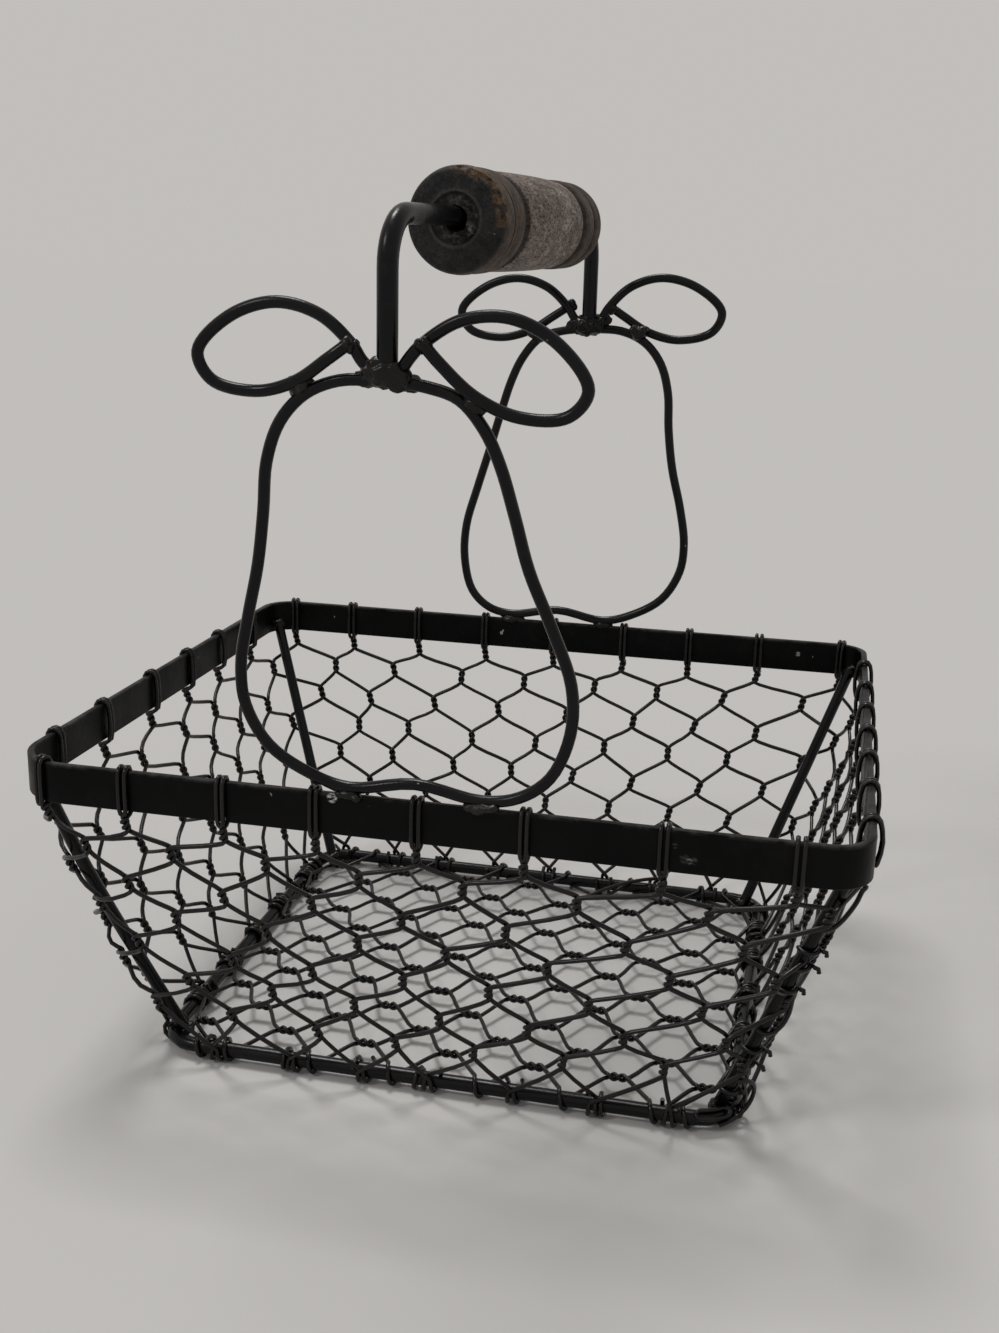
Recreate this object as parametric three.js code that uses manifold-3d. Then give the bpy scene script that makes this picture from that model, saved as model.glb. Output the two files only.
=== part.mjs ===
// Wire egg basket: a flat-band rim and a rod base ring held apart by four corner posts, with hexagonal
// wire netting hung between them, a wire pear welded on the rim at the front and at the back, and a
// rod handle that joins the two pears and carries a turned wooden grip.
// Millimetres, +Z up. The floor is z = 0, the basket's centre is on the Z axis, and the front faces -Y.

import * as THREE from "three";
import { mergeVertices } from "three/addons/utils/BufferGeometryUtils.js";
import Module from "manifold-3d";

const wasm = await Module();
wasm.setup();

// Driving dimensions: rim, base and posts
const rimWidth = 223; // outside, along X
const rimDepth = 193; // outside, along Y
const rimTop = 95.3; // upper edge of the band above the floor
const rimCorner = 11; // outside corner radius of the band
const bandHeight = 11;
const bandThickness = 2;
const baseWidth = 164; // centreline of the base rod, along X
const baseDepth = 144; // centreline of the base rod, along Y
const baseCorner = 10; // centreline corner radius of the base rod
const baseRod = 4.2; // diameter
const postRod = 3.6; // diameter
const postLap = 4; // height of a post inside the band

// Driving dimensions: netting
const wire = 1.1; // diameter of the netting wire
const twistWidth = 2.2; // two wires twisted round each other
const twistLength = 5; // length of a twisted stretch
const rowStep = 12.2; // from one row of twists to the next, down a side
const frontPitch = 25; // from twist to twist in a row, front and back
const sidePitch = 28; // from twist to twist in a row, left and right
const basePitch = 28; // from twist to twist in a row of the base netting
const baseRowStep = 15; // from one row of twists to the next in the base netting
const baseSkew = 0.02; // the base netting lies this much out of square
const loopLength = 2.6; // of a loop along the bar that it goes round
const tieWidth = 1.6; // of the twist that holds a loop to its netting
const sideLoopPitch = 42; // from loop to loop of the side netting round the base rod
const smallestGap = 6; // side of the smallest square whose area a clipped gap has to have

// Driving dimensions: pears, leaves, handle and grip
const pearWire = 3; // diameter
const pearBelly = 83; // width across the belly
const frontPearHeight = 102; // crown of the front pear's wire above the rim
const backPearHeight = 106; // crown of the back pear's wire above the rim
const stemOffset = 7.5; // the stem stands this far left of the pear's middle, seen from outside
const footSpread = 17; // half the distance between a pear's two feet
const leafLength = 41.5;
const leafHeight = 21;
const frontLeftLeafStart = 2; // from the stem's side to the start of the leaf's wire
const frontRightLeafStart = 1.2;
const backLeftLeafStart = 0.4;
const backRightLeafStart = 1.2;
const frontLeftLeafDroop = 0; // degrees
const frontRightLeafDroop = 8.5;
const backLeftLeafDroop = -4;
const backRightLeafDroop = -1;
const handleRod = 5; // diameter
const handleFront = 234.3; // handle's centreline above the floor, at its front bend
const handleBack = 236; // handle's centreline above the floor, at its back bend
const handleBend = 12; // centreline radius of the handle's two bends
const gripLength = 106;
const gripDiameter = 27;
const gripShift = 3; // the grip's middle lies this far back of the handle's middle
const gripBore = 6.6; // diameter
const boreOffset = 1.2; // the bore lies this far above the grip's own middle
const gripEdge = 1.6; // rounding of the grip's two ends
const gripEndLength = 19; // from an end of the grip to the middle of its groove
const gripGrooveWidth = 5;
const gripGrooveDepth = 1.2;

// Driving dimensions: weld beads, each as its half width, half depth and half height
const stemWeld = [8, 3, 4.2];
const stemWeldLift = 1.6; // middle of the bead above the pear's crown
const footWeld = [6, 2.4, 2.6];
const footWeldLift = 0.4; // middle of the bead above the rim
const leafWeldDepth = 2.4; // half depth
const leafWeldInset = 1.2; // middle of the bead inside the wires' middles
const leafWeldOverlap = 1.2; // reach of the bead past the two wires' middles, sideways
const leafWeldRise = 0.6; // reach of the bead past the two wires' middles, up and down

// Clearances and facets
const seat = 0.3; // gap left where two pieces touch
const rodSides = 10;
const wireSides = 8;
const turnedSides = 24;
const loopSides = 6;
const cornerSteps = 5;
const bendSteps = 6;

// Values worked out from the driving dimensions
const bandBottom = rimTop - bandHeight;
const loopReach = baseRod / 2 + seat + wire; // from the base rod's centre to a loop's outside
const loopCorner = loopReach / Math.cos(Math.PI / loopSides); // to a corner of the loop
const tieReach = seat + wire / 2; // from the netting's edge into a loop
const baseHeight = loopReach; // the loops stand on the floor and carry the base rod
const pearY = rimDepth / 2 - bandThickness / 2; // the pears stand over the middle of the band
const pearFoot = pearWire / 2 + seat; // a foot's centreline above the rim
const gripDrop = gripBore / 2 - handleRod / 2 - seat; // the bore hangs this far below the rod's middle

const paintedBand = new THREE.MeshStandardMaterial({ color: 0x1b1b1d, roughness: 0.55, metalness: 0.3 });
const paintedRod = new THREE.MeshStandardMaterial({ color: 0x161617, roughness: 0.45, metalness: 0.3 });
const paintedWire = new THREE.MeshStandardMaterial({ color: 0x1d1b1b, roughness: 0.5, metalness: 0.3 });
const paintedWeld = new THREE.MeshStandardMaterial({ color: 0x191919, roughness: 0.6, metalness: 0.2 });
const turnedWood = new THREE.MeshStandardMaterial({ color: 0x4a3d35, roughness: 0.8, metalness: 0 });

// Solids: closed geometries to and from boolean solids
function solidOf(geometry) {
  const loose = geometry.index ? geometry.toNonIndexed() : geometry;
  const bare = new THREE.BufferGeometry().setAttribute("position", loose.getAttribute("position").clone());
  const merged = mergeVertices(bare, 1e-4);
  const mesh = new wasm.Mesh({
    numProp: 3,
    vertProperties: merged.attributes.position.array,
    triVerts: new Uint32Array(merged.index.array),
  });
  return new wasm.Manifold(mesh);
}

function geometryOf(solid) {
  const mesh = solid.getMesh();
  return new THREE.BufferGeometry()
    .setAttribute("position", new THREE.BufferAttribute(new Float32Array(mesh.vertProperties), 3))
    .setIndex(new THREE.BufferAttribute(new Uint32Array(mesh.triVerts), 1));
}

function joined(geometries) {
  return geometryOf(geometries.map(solidOf).reduce((whole, piece) => whole.add(piece)));
}

// Rods: a round section carried along chosen stations
class StationPath extends THREE.Curve {
  constructor(points, closed = false) {
    super();
    this.points = points;
    this.closed = closed;
    this.steps = closed ? points.length : points.length - 1;
  }

  station(index) {
    const last = this.points.length - 1;
    if (this.closed) return this.points[(index + this.points.length) % this.points.length];
    return this.points[Math.min(Math.max(index, 0), last)];
  }

  getPointAt(share, target = new THREE.Vector3()) {
    return target.copy(this.station(Math.round(share * this.steps)));
  }

  getTangentAt(share, target = new THREE.Vector3()) {
    const index = Math.round(share * this.steps);
    return target.subVectors(this.station(index + 1), this.station(index - 1)).normalize();
  }
}

function roundSection(diameter, sides) {
  const corner = (i) => {
    const turn = ((i + 0.5) / sides) * 2 * Math.PI;
    return new THREE.Vector2(Math.cos(turn), Math.sin(turn)).multiplyScalar(diameter / 2);
  };
  return new THREE.Shape(Array.from({ length: sides }, (_, i) => corner(i)));
}

function rod(points, diameter, sides) {
  const path = new StationPath(points);
  return new THREE.ExtrudeGeometry(roundSection(diameter, sides), { steps: path.steps, extrudePath: path });
}

function ring(points, diameter, sides) {
  const path = new StationPath(points, true);
  return new THREE.TubeGeometry(path, path.steps, diameter / 2, sides, true);
}

// Corner points of a rounded rectangle, anticlockwise from above
function roundedRectangle(width, depth, radius) {
  const points = [];
  const corners = [
    [1, 1],
    [-1, 1],
    [-1, -1],
    [1, -1],
  ];
  corners.forEach(([sideX, sideY], quarter) => {
    for (let step = 0; step <= cornerSteps; step++) {
      const turn = (quarter + step / cornerSteps) * (Math.PI / 2);
      const x = sideX * (width / 2 - radius) + radius * Math.cos(turn);
      const y = sideY * (depth / 2 - radius) + radius * Math.sin(turn);
      points.push(new THREE.Vector2(x, y));
    }
  });
  return points;
}

// Rim: a flat steel band bent on edge into a rounded rectangle
function rimBand() {
  const outline = new THREE.Shape(roundedRectangle(rimWidth, rimDepth, rimCorner));
  const innerCorner = rimCorner - bandThickness;
  const inside = roundedRectangle(rimWidth - 2 * bandThickness, rimDepth - 2 * bandThickness, innerCorner);
  outline.holes.push(new THREE.Path(inside));
  const band = new THREE.ExtrudeGeometry(outline, { depth: bandHeight, bevelEnabled: false });
  return band.translate(0, 0, bandBottom);
}

// Base: a round rod bent into a smaller rounded rectangle
function baseRing() {
  const points = roundedRectangle(baseWidth, baseDepth, baseCorner);
  return ring(points.map((p) => new THREE.Vector3(p.x, p.y, baseHeight)), baseRod, rodSides);
}

// Post: a straight rod from inside a base corner to inside a rim corner, which are sideX and sideY away
function cornerPost(sideX, sideY) {
  const diagonal = Math.SQRT1_2;
  const rise = bandBottom + postLap - baseHeight;
  const run = Math.hypot(rimWidth - baseWidth, rimDepth - baseDepth) / 2;
  const levelRadius = ((postRod / 2) * Math.hypot(rise, run)) / rise;
  const inBase = (baseCorner - baseRod / 2 - levelRadius - seat) * diagonal;
  const inRim = (rimCorner - bandThickness - levelRadius - seat) * diagonal;
  const foot = [baseWidth / 2 - baseCorner + inBase, baseDepth / 2 - baseCorner + inBase, baseHeight];
  const head = [rimWidth / 2 - rimCorner + inRim, rimDepth / 2 - rimCorner + inRim, bandBottom + postLap];
  const ends = [foot, head].map(([x, y, z]) => new THREE.Vector3(sideX * x, sideY * y, z));
  return rod(ends, postRod, rodSides);
}

// Flat polygons, with their corners anticlockwise
function insetPolygon(points, distances) {
  const lines = points.map((from, i) => {
    const along = points[(i + 1) % points.length].clone().sub(from).normalize();
    const inward = new THREE.Vector2(-along.y, along.x);
    return { start: from.clone().addScaledVector(inward, distances[i]), along };
  });
  return lines.map((line, i) => {
    const before = lines[(i + lines.length - 1) % lines.length];
    const apart = line.start.clone().sub(before.start);
    const reach = apart.cross(line.along) / before.along.cross(line.along);
    return before.start.clone().addScaledVector(before.along, reach);
  });
}

function clipPolygon(points, boundary) {
  return boundary.reduce((left, from, i) => {
    const along = boundary[(i + 1) % boundary.length].clone().sub(from);
    const inside = (p) => along.cross(p.clone().sub(from));
    return left.flatMap((p, j) => {
      const next = left[(j + 1) % left.length];
      const [here, there] = [inside(p), inside(next)];
      const kept = here >= 0 ? [p] : [];
      if (here * there < 0) kept.push(p.clone().lerp(next, here / (here - there)));
      return kept;
    });
  }, points);
}

// A field of hexagonal netting. place(column, row) gives a twist's centre, rows count away from +v, and
// firstColumn is the column of the first twist in row 0: each row starts half a column from the one before.
function netCell(place, column, row) {
  const half = twistLength / 2;
  const up = (c, r) => place(c, r).add(new THREE.Vector2(0, half));
  const down = (c, r) => place(c, r).sub(new THREE.Vector2(0, half));
  const [left, right] = [column - 0.5, column + 0.5];
  const corners = [up(column, row + 1), down(right, row), up(right, row), down(column, row - 1)];
  corners.push(up(left, row), down(left, row));
  return insetPolygon(corners, [wire / 2, twistWidth / 2, wire / 2, wire / 2, twistWidth / 2, wire / 2]);
}

function netGaps(place, columns, firstRow, lastRow, firstColumn, boundary) {
  const clear = insetPolygon(boundary, boundary.map(() => wire));
  const gaps = [];
  for (let row = firstRow; row <= lastRow; row++) {
    const start = (firstColumn + 0.5 * (row + 1)) % 1;
    for (let column = start - 1; column <= columns + 1; column++) {
      const gap = clipPolygon(netCell(place, column, row), clear);
      if (gap.length > 2 && THREE.ShapeUtils.area(gap) > smallestGap ** 2) gaps.push(gap);
    }
  }
  return gaps;
}

function slab(outline, thickness) {
  const plain = { depth: thickness, bevelEnabled: false };
  return new THREE.ExtrudeGeometry(new THREE.Shape(outline), plain).translate(0, 0, -thickness / 2);
}

function netPlate(outline, gaps) {
  const rightThrough = 3 * wire;
  const cuts = gaps.map((gap) => solidOf(slab(gap, rightThrough)));
  return geometryOf(cuts.reduce((left, cut) => left.subtract(cut), solidOf(slab(outline, wire))));
}

// Evenly spaced places along a length: with a place at each end, or half a pitch in from each end
function endToEnd(length, pitch) {
  const count = 2 * Math.max(1, Math.round(length / pitch / 2));
  return Array.from({ length: count + 1 }, (_, i) => (i / count - 0.5) * length);
}

function halfPitchIn(length, pitch) {
  const count = Math.max(1, Math.round(length / pitch));
  return Array.from({ length: count }, (_, i) => ((i + 0.5) / count - 0.5) * length);
}

// A loop of netting wire closed round a bar that runs along X
function loopOf(outside, inside) {
  const shape = new THREE.Shape(outside);
  shape.holes.push(new THREE.Path(inside));
  const acrossX = new THREE.Matrix4().makeBasis(
    new THREE.Vector3(0, 1, 0),
    new THREE.Vector3(0, 0, 1),
    new THREE.Vector3(1, 0, 0),
  );
  return new THREE.ExtrudeGeometry(shape, { depth: loopLength, bevelEnabled: false })
    .translate(0, 0, -loopLength / 2)
    .applyMatrix4(acrossX);
}

function bandLoop() {
  const box = (grow) => {
    const [halfY, halfZ] = [bandThickness / 2 + grow, bandHeight / 2 + grow];
    return [
      new THREE.Vector2(-halfY, -halfZ),
      new THREE.Vector2(halfY, -halfZ),
      new THREE.Vector2(halfY, halfZ),
      new THREE.Vector2(-halfY, halfZ),
    ];
  };
  return loopOf(box(seat + wire), box(seat));
}

// Six-sided, with a flat side down to stand on
function baseLoop() {
  const hexagon = (flat) =>
    Array.from({ length: loopSides }, (_, i) => {
      const turn = (i / loopSides) * 2 * Math.PI;
      const corner = flat / Math.cos(Math.PI / loopSides);
      return new THREE.Vector2(Math.cos(turn), Math.sin(turn)).multiplyScalar(corner);
    });
  return loopOf(hexagon(loopReach), hexagon(loopReach - wire));
}

// Side netting, modelled as the front: it hangs from loops round the band, leans in to the base rod and
// ends in loops round it. A side has its own length along the rim and along the base.
function sideNetting({ rimLength, rimReach, baseLength, baseReach, hooks, firstColumn, columns }) {
  const top = { y: -(rimReach - bandThickness / 2), z: bandBottom - seat - wire / 2 };
  const bottom = { y: -baseReach, z: baseHeight + loopReach + seat };
  const lean = Math.atan2(bottom.y - top.y, top.z - bottom.z);
  const slope = Math.hypot(bottom.y - top.y, top.z - bottom.z);
  const halfTop = rimLength / 2 - rimCorner / 2;
  const halfBottom = baseLength / 2 - baseCorner / 2;
  const halfAt = (v) => halfBottom + (halfTop - halfBottom) * (v / slope);
  const hookSpan = hooks[hooks.length - 1] - hooks[0];
  const columnStep = hookSpan / (hooks.length - 1) / halfTop;
  const firstTwist = slope - twistLength / 2;
  const place = (column, row) => {
    const v = firstTwist - row * rowStep;
    return new THREE.Vector2((column - columns / 2) * columnStep * halfAt(v), v);
  };

  const boundary = [
    new THREE.Vector2(-halfBottom, 0),
    new THREE.Vector2(halfBottom, 0),
    new THREE.Vector2(halfTop, slope),
    new THREE.Vector2(-halfTop, slope),
  ];
  const rows = Math.ceil(slope / rowStep);
  const betweenHooks = Array.from({ length: columns + 2 }, (_, i) => firstColumn + i - 0.5);
  const openGaps = betweenHooks.map((column) => openCell(place, column, slope));
  const gaps = netGaps(place, columns, 1, rows, firstColumn, boundary);
  const loops = halfPitchIn(baseLength - 2 * baseCorner, sideLoopPitch);
  const ties = loops.flatMap((x) => tie(x, -tieReach));
  const [bottomLeft, ...rest] = boundary;
  const plate = netPlate([bottomLeft, ...ties, ...rest], [...gaps, ...openGaps]);
  const tilt = new THREE.Matrix4().makeBasis(
    new THREE.Vector3(1, 0, 0),
    new THREE.Vector3(0, -Math.sin(lean), Math.cos(lean)),
    new THREE.Vector3(0, -Math.cos(lean), -Math.sin(lean)),
  );
  plate.applyMatrix4(tilt.setPosition(0, bottom.y, bottom.z));

  const overBand = hooks.map((x) => bandLoop().translate(x, top.y, rimTop - bandHeight / 2));
  const roundRod = loops.map((x) => baseLoop().translate(x, -baseReach, baseHeight));
  return joined([plate, ...overBand, ...roundRod]);
}

// Four corners of a twist that leaves the netting's lower edge for a loop
function tie(x, reach) {
  return [
    new THREE.Vector2(x - tieWidth / 2, 0),
    new THREE.Vector2(x - tieWidth / 2, reach),
    new THREE.Vector2(x + tieWidth / 2, reach),
    new THREE.Vector2(x + tieWidth / 2, 0),
  ];
}

// The open gap between two hooks: the wires drop in a V to the twist of the next row
function openCell(place, column, slope) {
  const half = twistLength / 2;
  const above = slope + twistLength;
  const [left, right, low] = [place(column - 0.5, 0), place(column + 0.5, 0), place(column, 1)];
  const corners = [
    new THREE.Vector2(low.x, low.y + half),
    new THREE.Vector2(right.x, right.y - half),
    new THREE.Vector2(right.x, above),
    new THREE.Vector2(left.x, above),
    new THREE.Vector2(left.x, left.y - half),
  ];
  return insetPolygon(corners, [wire / 2, twistWidth / 2, 0, twistWidth / 2, wire / 2]);
}

// Base netting: flat, inside the base rod, with its twists along X and loops round the rod on all sides
function baseNetting() {
  const inset = loopCorner + seat;
  const [halfX, halfY] = [baseWidth / 2 - inset, baseDepth / 2 - inset];
  const columns = Math.round((2 * halfY) / basePitch);
  const rows = Math.round((2 * halfX) / baseRowStep);
  const place = (column, row) => {
    const [u, v] = [(column / columns - 0.5) * 2 * halfY, halfX - (row / rows) * 2 * halfX];
    return new THREE.Vector2(u + baseSkew * v, v + baseSkew * u);
  };
  const boundary = [];
  const corners = [
    [-1, -1],
    [1, -1],
    [1, 1],
    [-1, 1],
  ];
  corners.forEach(([sideU, sideV]) => {
    const cut = [
      new THREE.Vector2(sideU * (halfY - baseCorner), sideV * halfX),
      new THREE.Vector2(sideU * halfY, sideV * (halfX - baseCorner)),
    ];
    boundary.push(...(sideU * sideV < 0 ? cut : cut.reverse()));
  });
  const plate = netPlate(boundary, netGaps(place, columns, 0, rows, 0, boundary));
  plate.rotateZ(-Math.PI / 2).translate(0, 0, baseHeight);

  const tieInto = (length, reach, turn) => {
    const sideLoops = halfPitchIn(length - 2 * baseCorner, sideLoopPitch);
    const between = sideLoops.slice(1).map((x, i) => (x + sideLoops[i]) / 2);
    const ties = between.filter((_, i) => i % 2 === 0);
    return ties.flatMap((x) => {
      const twist = new THREE.BoxGeometry(tieWidth, tieReach + wire / 2, wire);
      twist.translate(x, -reach + inset - tieReach / 2 + wire / 4, baseHeight);
      return [twist, baseLoop().translate(x, -reach, baseHeight)].map((piece) => piece.rotateZ(turn));
    });
  };
  const alongX = [0, Math.PI].flatMap((turn) => tieInto(baseWidth, baseDepth / 2, turn));
  const alongY = [1, -1].flatMap((side) => tieInto(baseDepth, baseWidth / 2, (side * Math.PI) / 2));
  return joined([plate, ...alongX, ...alongY]);
}

// Pear: one wire bent to a pear's outline, seen from outside, with its two ends under the stem.
// Each point is a share of the belly's width from the middle, and a share of the height above the feet.
const pearRightSide = [
  [0.02, 0.99],
  [0.115, 0.965],
  [0.187, 0.9],
  [0.235, 0.82],
  [0.28, 0.705],
  [0.325, 0.58],
  [0.385, 0.445],
  [0.438, 0.31],
  [0.442, 0.19],
  [0.397, 0.076],
  [0.313, 0.018],
];
const pearLeftSide = [
  [-0.331, 0.028],
  [-0.458, 0.092],
  [-0.53, 0.192],
  [-0.542, 0.292],
  [-0.518, 0.411],
  [-0.482, 0.55],
  [-0.462, 0.68],
  [-0.449, 0.8],
  [-0.407, 0.895],
  [-0.331, 0.962],
  [-0.229, 0.996],
];
const pearDimple = 2.6; // rise of the wire between the two feet
const pearEndGap = 1.2; // between the wire's two ends
const pearSteps = 44;

function pearPath(height) {
  const onOutline = ([across, up]) =>
    new THREE.Vector3(across * pearBelly, 0, pearFoot + up * (height - pearFoot));
  const feet = [
    new THREE.Vector3(footSpread, 0, pearFoot),
    new THREE.Vector3(0, 0, pearFoot + pearDimple),
    new THREE.Vector3(-footSpread, 0, pearFoot),
  ];
  const outline = [...pearRightSide.map(onOutline), ...feet, ...pearLeftSide.map(onOutline)];
  const ends = [1, -1].map((side) => new THREE.Vector3(-stemOffset + (side * pearEndGap) / 2, 0, height));
  return new THREE.CatmullRomCurve3([ends[0], ...outline, ends[1]]).getSpacedPoints(pearSteps);
}

// Leaf: one wire from beside the stem, out round the leaf and back over its own start, pointing left.
// Each point is a share of the leaf's length and of its height, from where the wire starts, and a share
// of the step outwards in which the wire passes over its own start.
const leafOutline = [
  [0, 0, 0],
  [-0.062, 0.176, 0],
  [-0.25, 0.49, 0],
  [-0.515, 0.614, 0],
  [-0.8, 0.438, 0],
  [-1, 0.033, 0],
  [-0.92, -0.276, 0],
  [-0.652, -0.386, 0],
  [-0.398, -0.257, 1 / 3],
  [-0.185, 0.019, 2 / 3],
  [-0.03, 0.23, 1],
];
const leafSteps = 26;
const clearOfStem = 14; // a leaf meets the pear's shoulder further than this from the stem
const seatingTryCount = 16; // halvings of the leaf's height in which it finds its seat

// Where two paths come nearest: the middle of the gap and the distance between the centrelines
function closest(pathA, pathB) {
  const finePlaces = [0, 0.2, 0.4, 0.6, 0.8, 1];
  const finePoints = (path) =>
    path.slice(1).flatMap((end, i) => finePlaces.map((share) => path[i].clone().lerp(end, share)));
  const [fineA, fineB] = [finePoints(pathA), finePoints(pathB)];
  const pairs = fineA.flatMap((a) => fineB.map((b) => ({ a, b, apart: a.distanceTo(b) })));
  const { a, b, apart } = pairs.reduce((best, pair) => (pair.apart < best.apart ? pair : best));
  return { middle: a.clone().lerp(b, 0.5), apart };
}

// A leaf is let down from above until it lies a seat away from the pear's wire
function leafPath(pear, height, side, { startGap, droop }) {
  const turn = THREE.MathUtils.degToRad(droop);
  const start = new THREE.Vector2(-(handleRod + pearWire) / 2 - startGap, height);
  const points = leafOutline.map(([along, up, over]) => {
    const flat = new THREE.Vector2(along * leafLength, up * leafHeight);
    flat.rotateAround(new THREE.Vector2(), turn).add(start);
    const outward = -over * (pearWire + seat);
    return new THREE.Vector3(side * flat.x - stemOffset, outward, flat.y);
  });
  const low = new THREE.CatmullRomCurve3(points).getSpacedPoints(leafSteps);
  const lifted = (lift) => low.map((p) => new THREE.Vector3(p.x, p.y, p.z + lift));
  let [tooLow, clear] = [0, leafHeight];
  for (let tries = 0; tries < seatingTryCount; tries++) {
    const middle = (tooLow + clear) / 2;
    if (closest(lifted(middle), pear).apart < pearWire + seat) tooLow = middle;
    else clear = middle;
  }
  return lifted(clear);
}

// Handle: one rod from the front stem to the back stem, along its own Y
const stemReach = Math.hypot(pearY, stemOffset); // from the middle of the handle to a stem
const handleTurn = -Math.atan2(stemOffset, pearY);
const handleSlope = Math.atan2(handleBack - handleFront, 2 * (stemReach - handleBend));

function handlePath() {
  const points = [];
  [-1, 1].forEach((side) => {
    const [height, top] = side < 0 ? [frontPearHeight, handleFront] : [backPearHeight, handleBack];
    const bend = Array.from({ length: bendSteps + 1 }, (_, step) => {
      const turn = (step / bendSteps) * (Math.PI / 2);
      const y = side * (stemReach - handleBend + handleBend * Math.cos(turn));
      return new THREE.Vector3(0, y, top - handleBend + handleBend * Math.sin(turn));
    });
    const foot = new THREE.Vector3(0, side * stemReach, rimTop + height + pearWire / 2 + seat);
    const stem = [foot, ...bend];
    points.push(...(side < 0 ? stem : stem.reverse()));
  });
  return points;
}

// Grip: turned wood along Y with rounded ends, a groove near each end and a bore above its middle
function woodenGrip() {
  const radius = gripDiameter / 2;
  const half = gripLength / 2;
  const groove = half - gripEndLength;
  const midRound = gripEdge * (1 - Math.SQRT1_2);
  const oneEnd = [
    [0, half],
    [radius - gripEdge, half],
    [radius - midRound, half - midRound],
    [radius, half - gripEdge],
    [radius, groove + gripGrooveWidth / 2],
    [radius - gripGrooveDepth, groove],
    [radius, groove - gripGrooveWidth / 2],
  ];
  const otherEnd = oneEnd.map(([r, y]) => [r, -y]);
  const profile = [...otherEnd, ...oneEnd.reverse()].map(([r, y]) => new THREE.Vector2(r, y));
  const turned = new THREE.LatheGeometry(profile, turnedSides).translate(0, 0, -boreOffset);
  const bore = new THREE.CylinderGeometry(gripBore / 2, gripBore / 2, 2 * gripLength, turnedSides);
  return geometryOf(solidOf(turned).subtract(solidOf(bore)));
}

// Welds: lumps with the wires and bars that they join taken out, each grown by the seat
function weld(radii, centre, grownPieces) {
  const lump = new THREE.IcosahedronGeometry(1, 1).scale(...radii).translate(...centre);
  return geometryOf(grownPieces.reduce((left, piece) => left.subtract(solidOf(piece)), solidOf(lump)));
}

// A foot's weld keeps clear of the netting's hooks: it moves along the rim to the nearest free place
function besideHooks(x, hooks) {
  const room = footWeld[0] + loopLength / 2 + seat;
  const near = hooks.find((hook) => Math.abs(x - hook) < room);
  if (near === undefined) return x;
  return near + (x < near ? -room : room);
}

// A piece with its own name and its own copy of a finish
function piece(geometry, name, finish) {
  const mesh = new THREE.Mesh(geometry, finish.clone());
  mesh.name = name;
  return mesh;
}

// Assembly
const basket = new THREE.Group();
basket.add(piece(rimBand(), "rim_band", paintedBand));
basket.add(piece(baseRing(), "base_ring", paintedRod));
[
  ["front_left_post", -1, -1],
  ["front_right_post", 1, -1],
  ["back_right_post", 1, 1],
  ["back_left_post", -1, 1],
].forEach(([name, sideX, sideY]) => basket.add(piece(cornerPost(sideX, sideY), name, paintedRod)));

const longHooks = endToEnd(rimWidth - 2 * rimCorner, frontPitch);
const longSide = {
  rimLength: rimWidth,
  rimReach: rimDepth / 2,
  baseLength: baseWidth,
  baseReach: baseDepth / 2,
  hooks: longHooks,
  firstColumn: 0,
  columns: longHooks.length - 1,
};
const shortHooks = halfPitchIn(rimDepth - 2 * rimCorner, sidePitch);
const shortSide = {
  rimLength: rimDepth,
  rimReach: rimWidth / 2,
  baseLength: baseDepth,
  baseReach: baseWidth / 2,
  hooks: shortHooks,
  firstColumn: 0.5,
  columns: shortHooks.length,
};
[
  ["front_netting", longSide, 0],
  ["right_netting", shortSide, Math.PI / 2],
  ["back_netting", longSide, Math.PI],
  ["left_netting", shortSide, -Math.PI / 2],
].forEach(([name, side, turn]) => {
  const mesh = piece(sideNetting(side), name, paintedWire);
  mesh.rotation.z = turn;
  basket.add(mesh);
});
basket.add(piece(baseNetting(), "base_netting", paintedWire));

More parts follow.
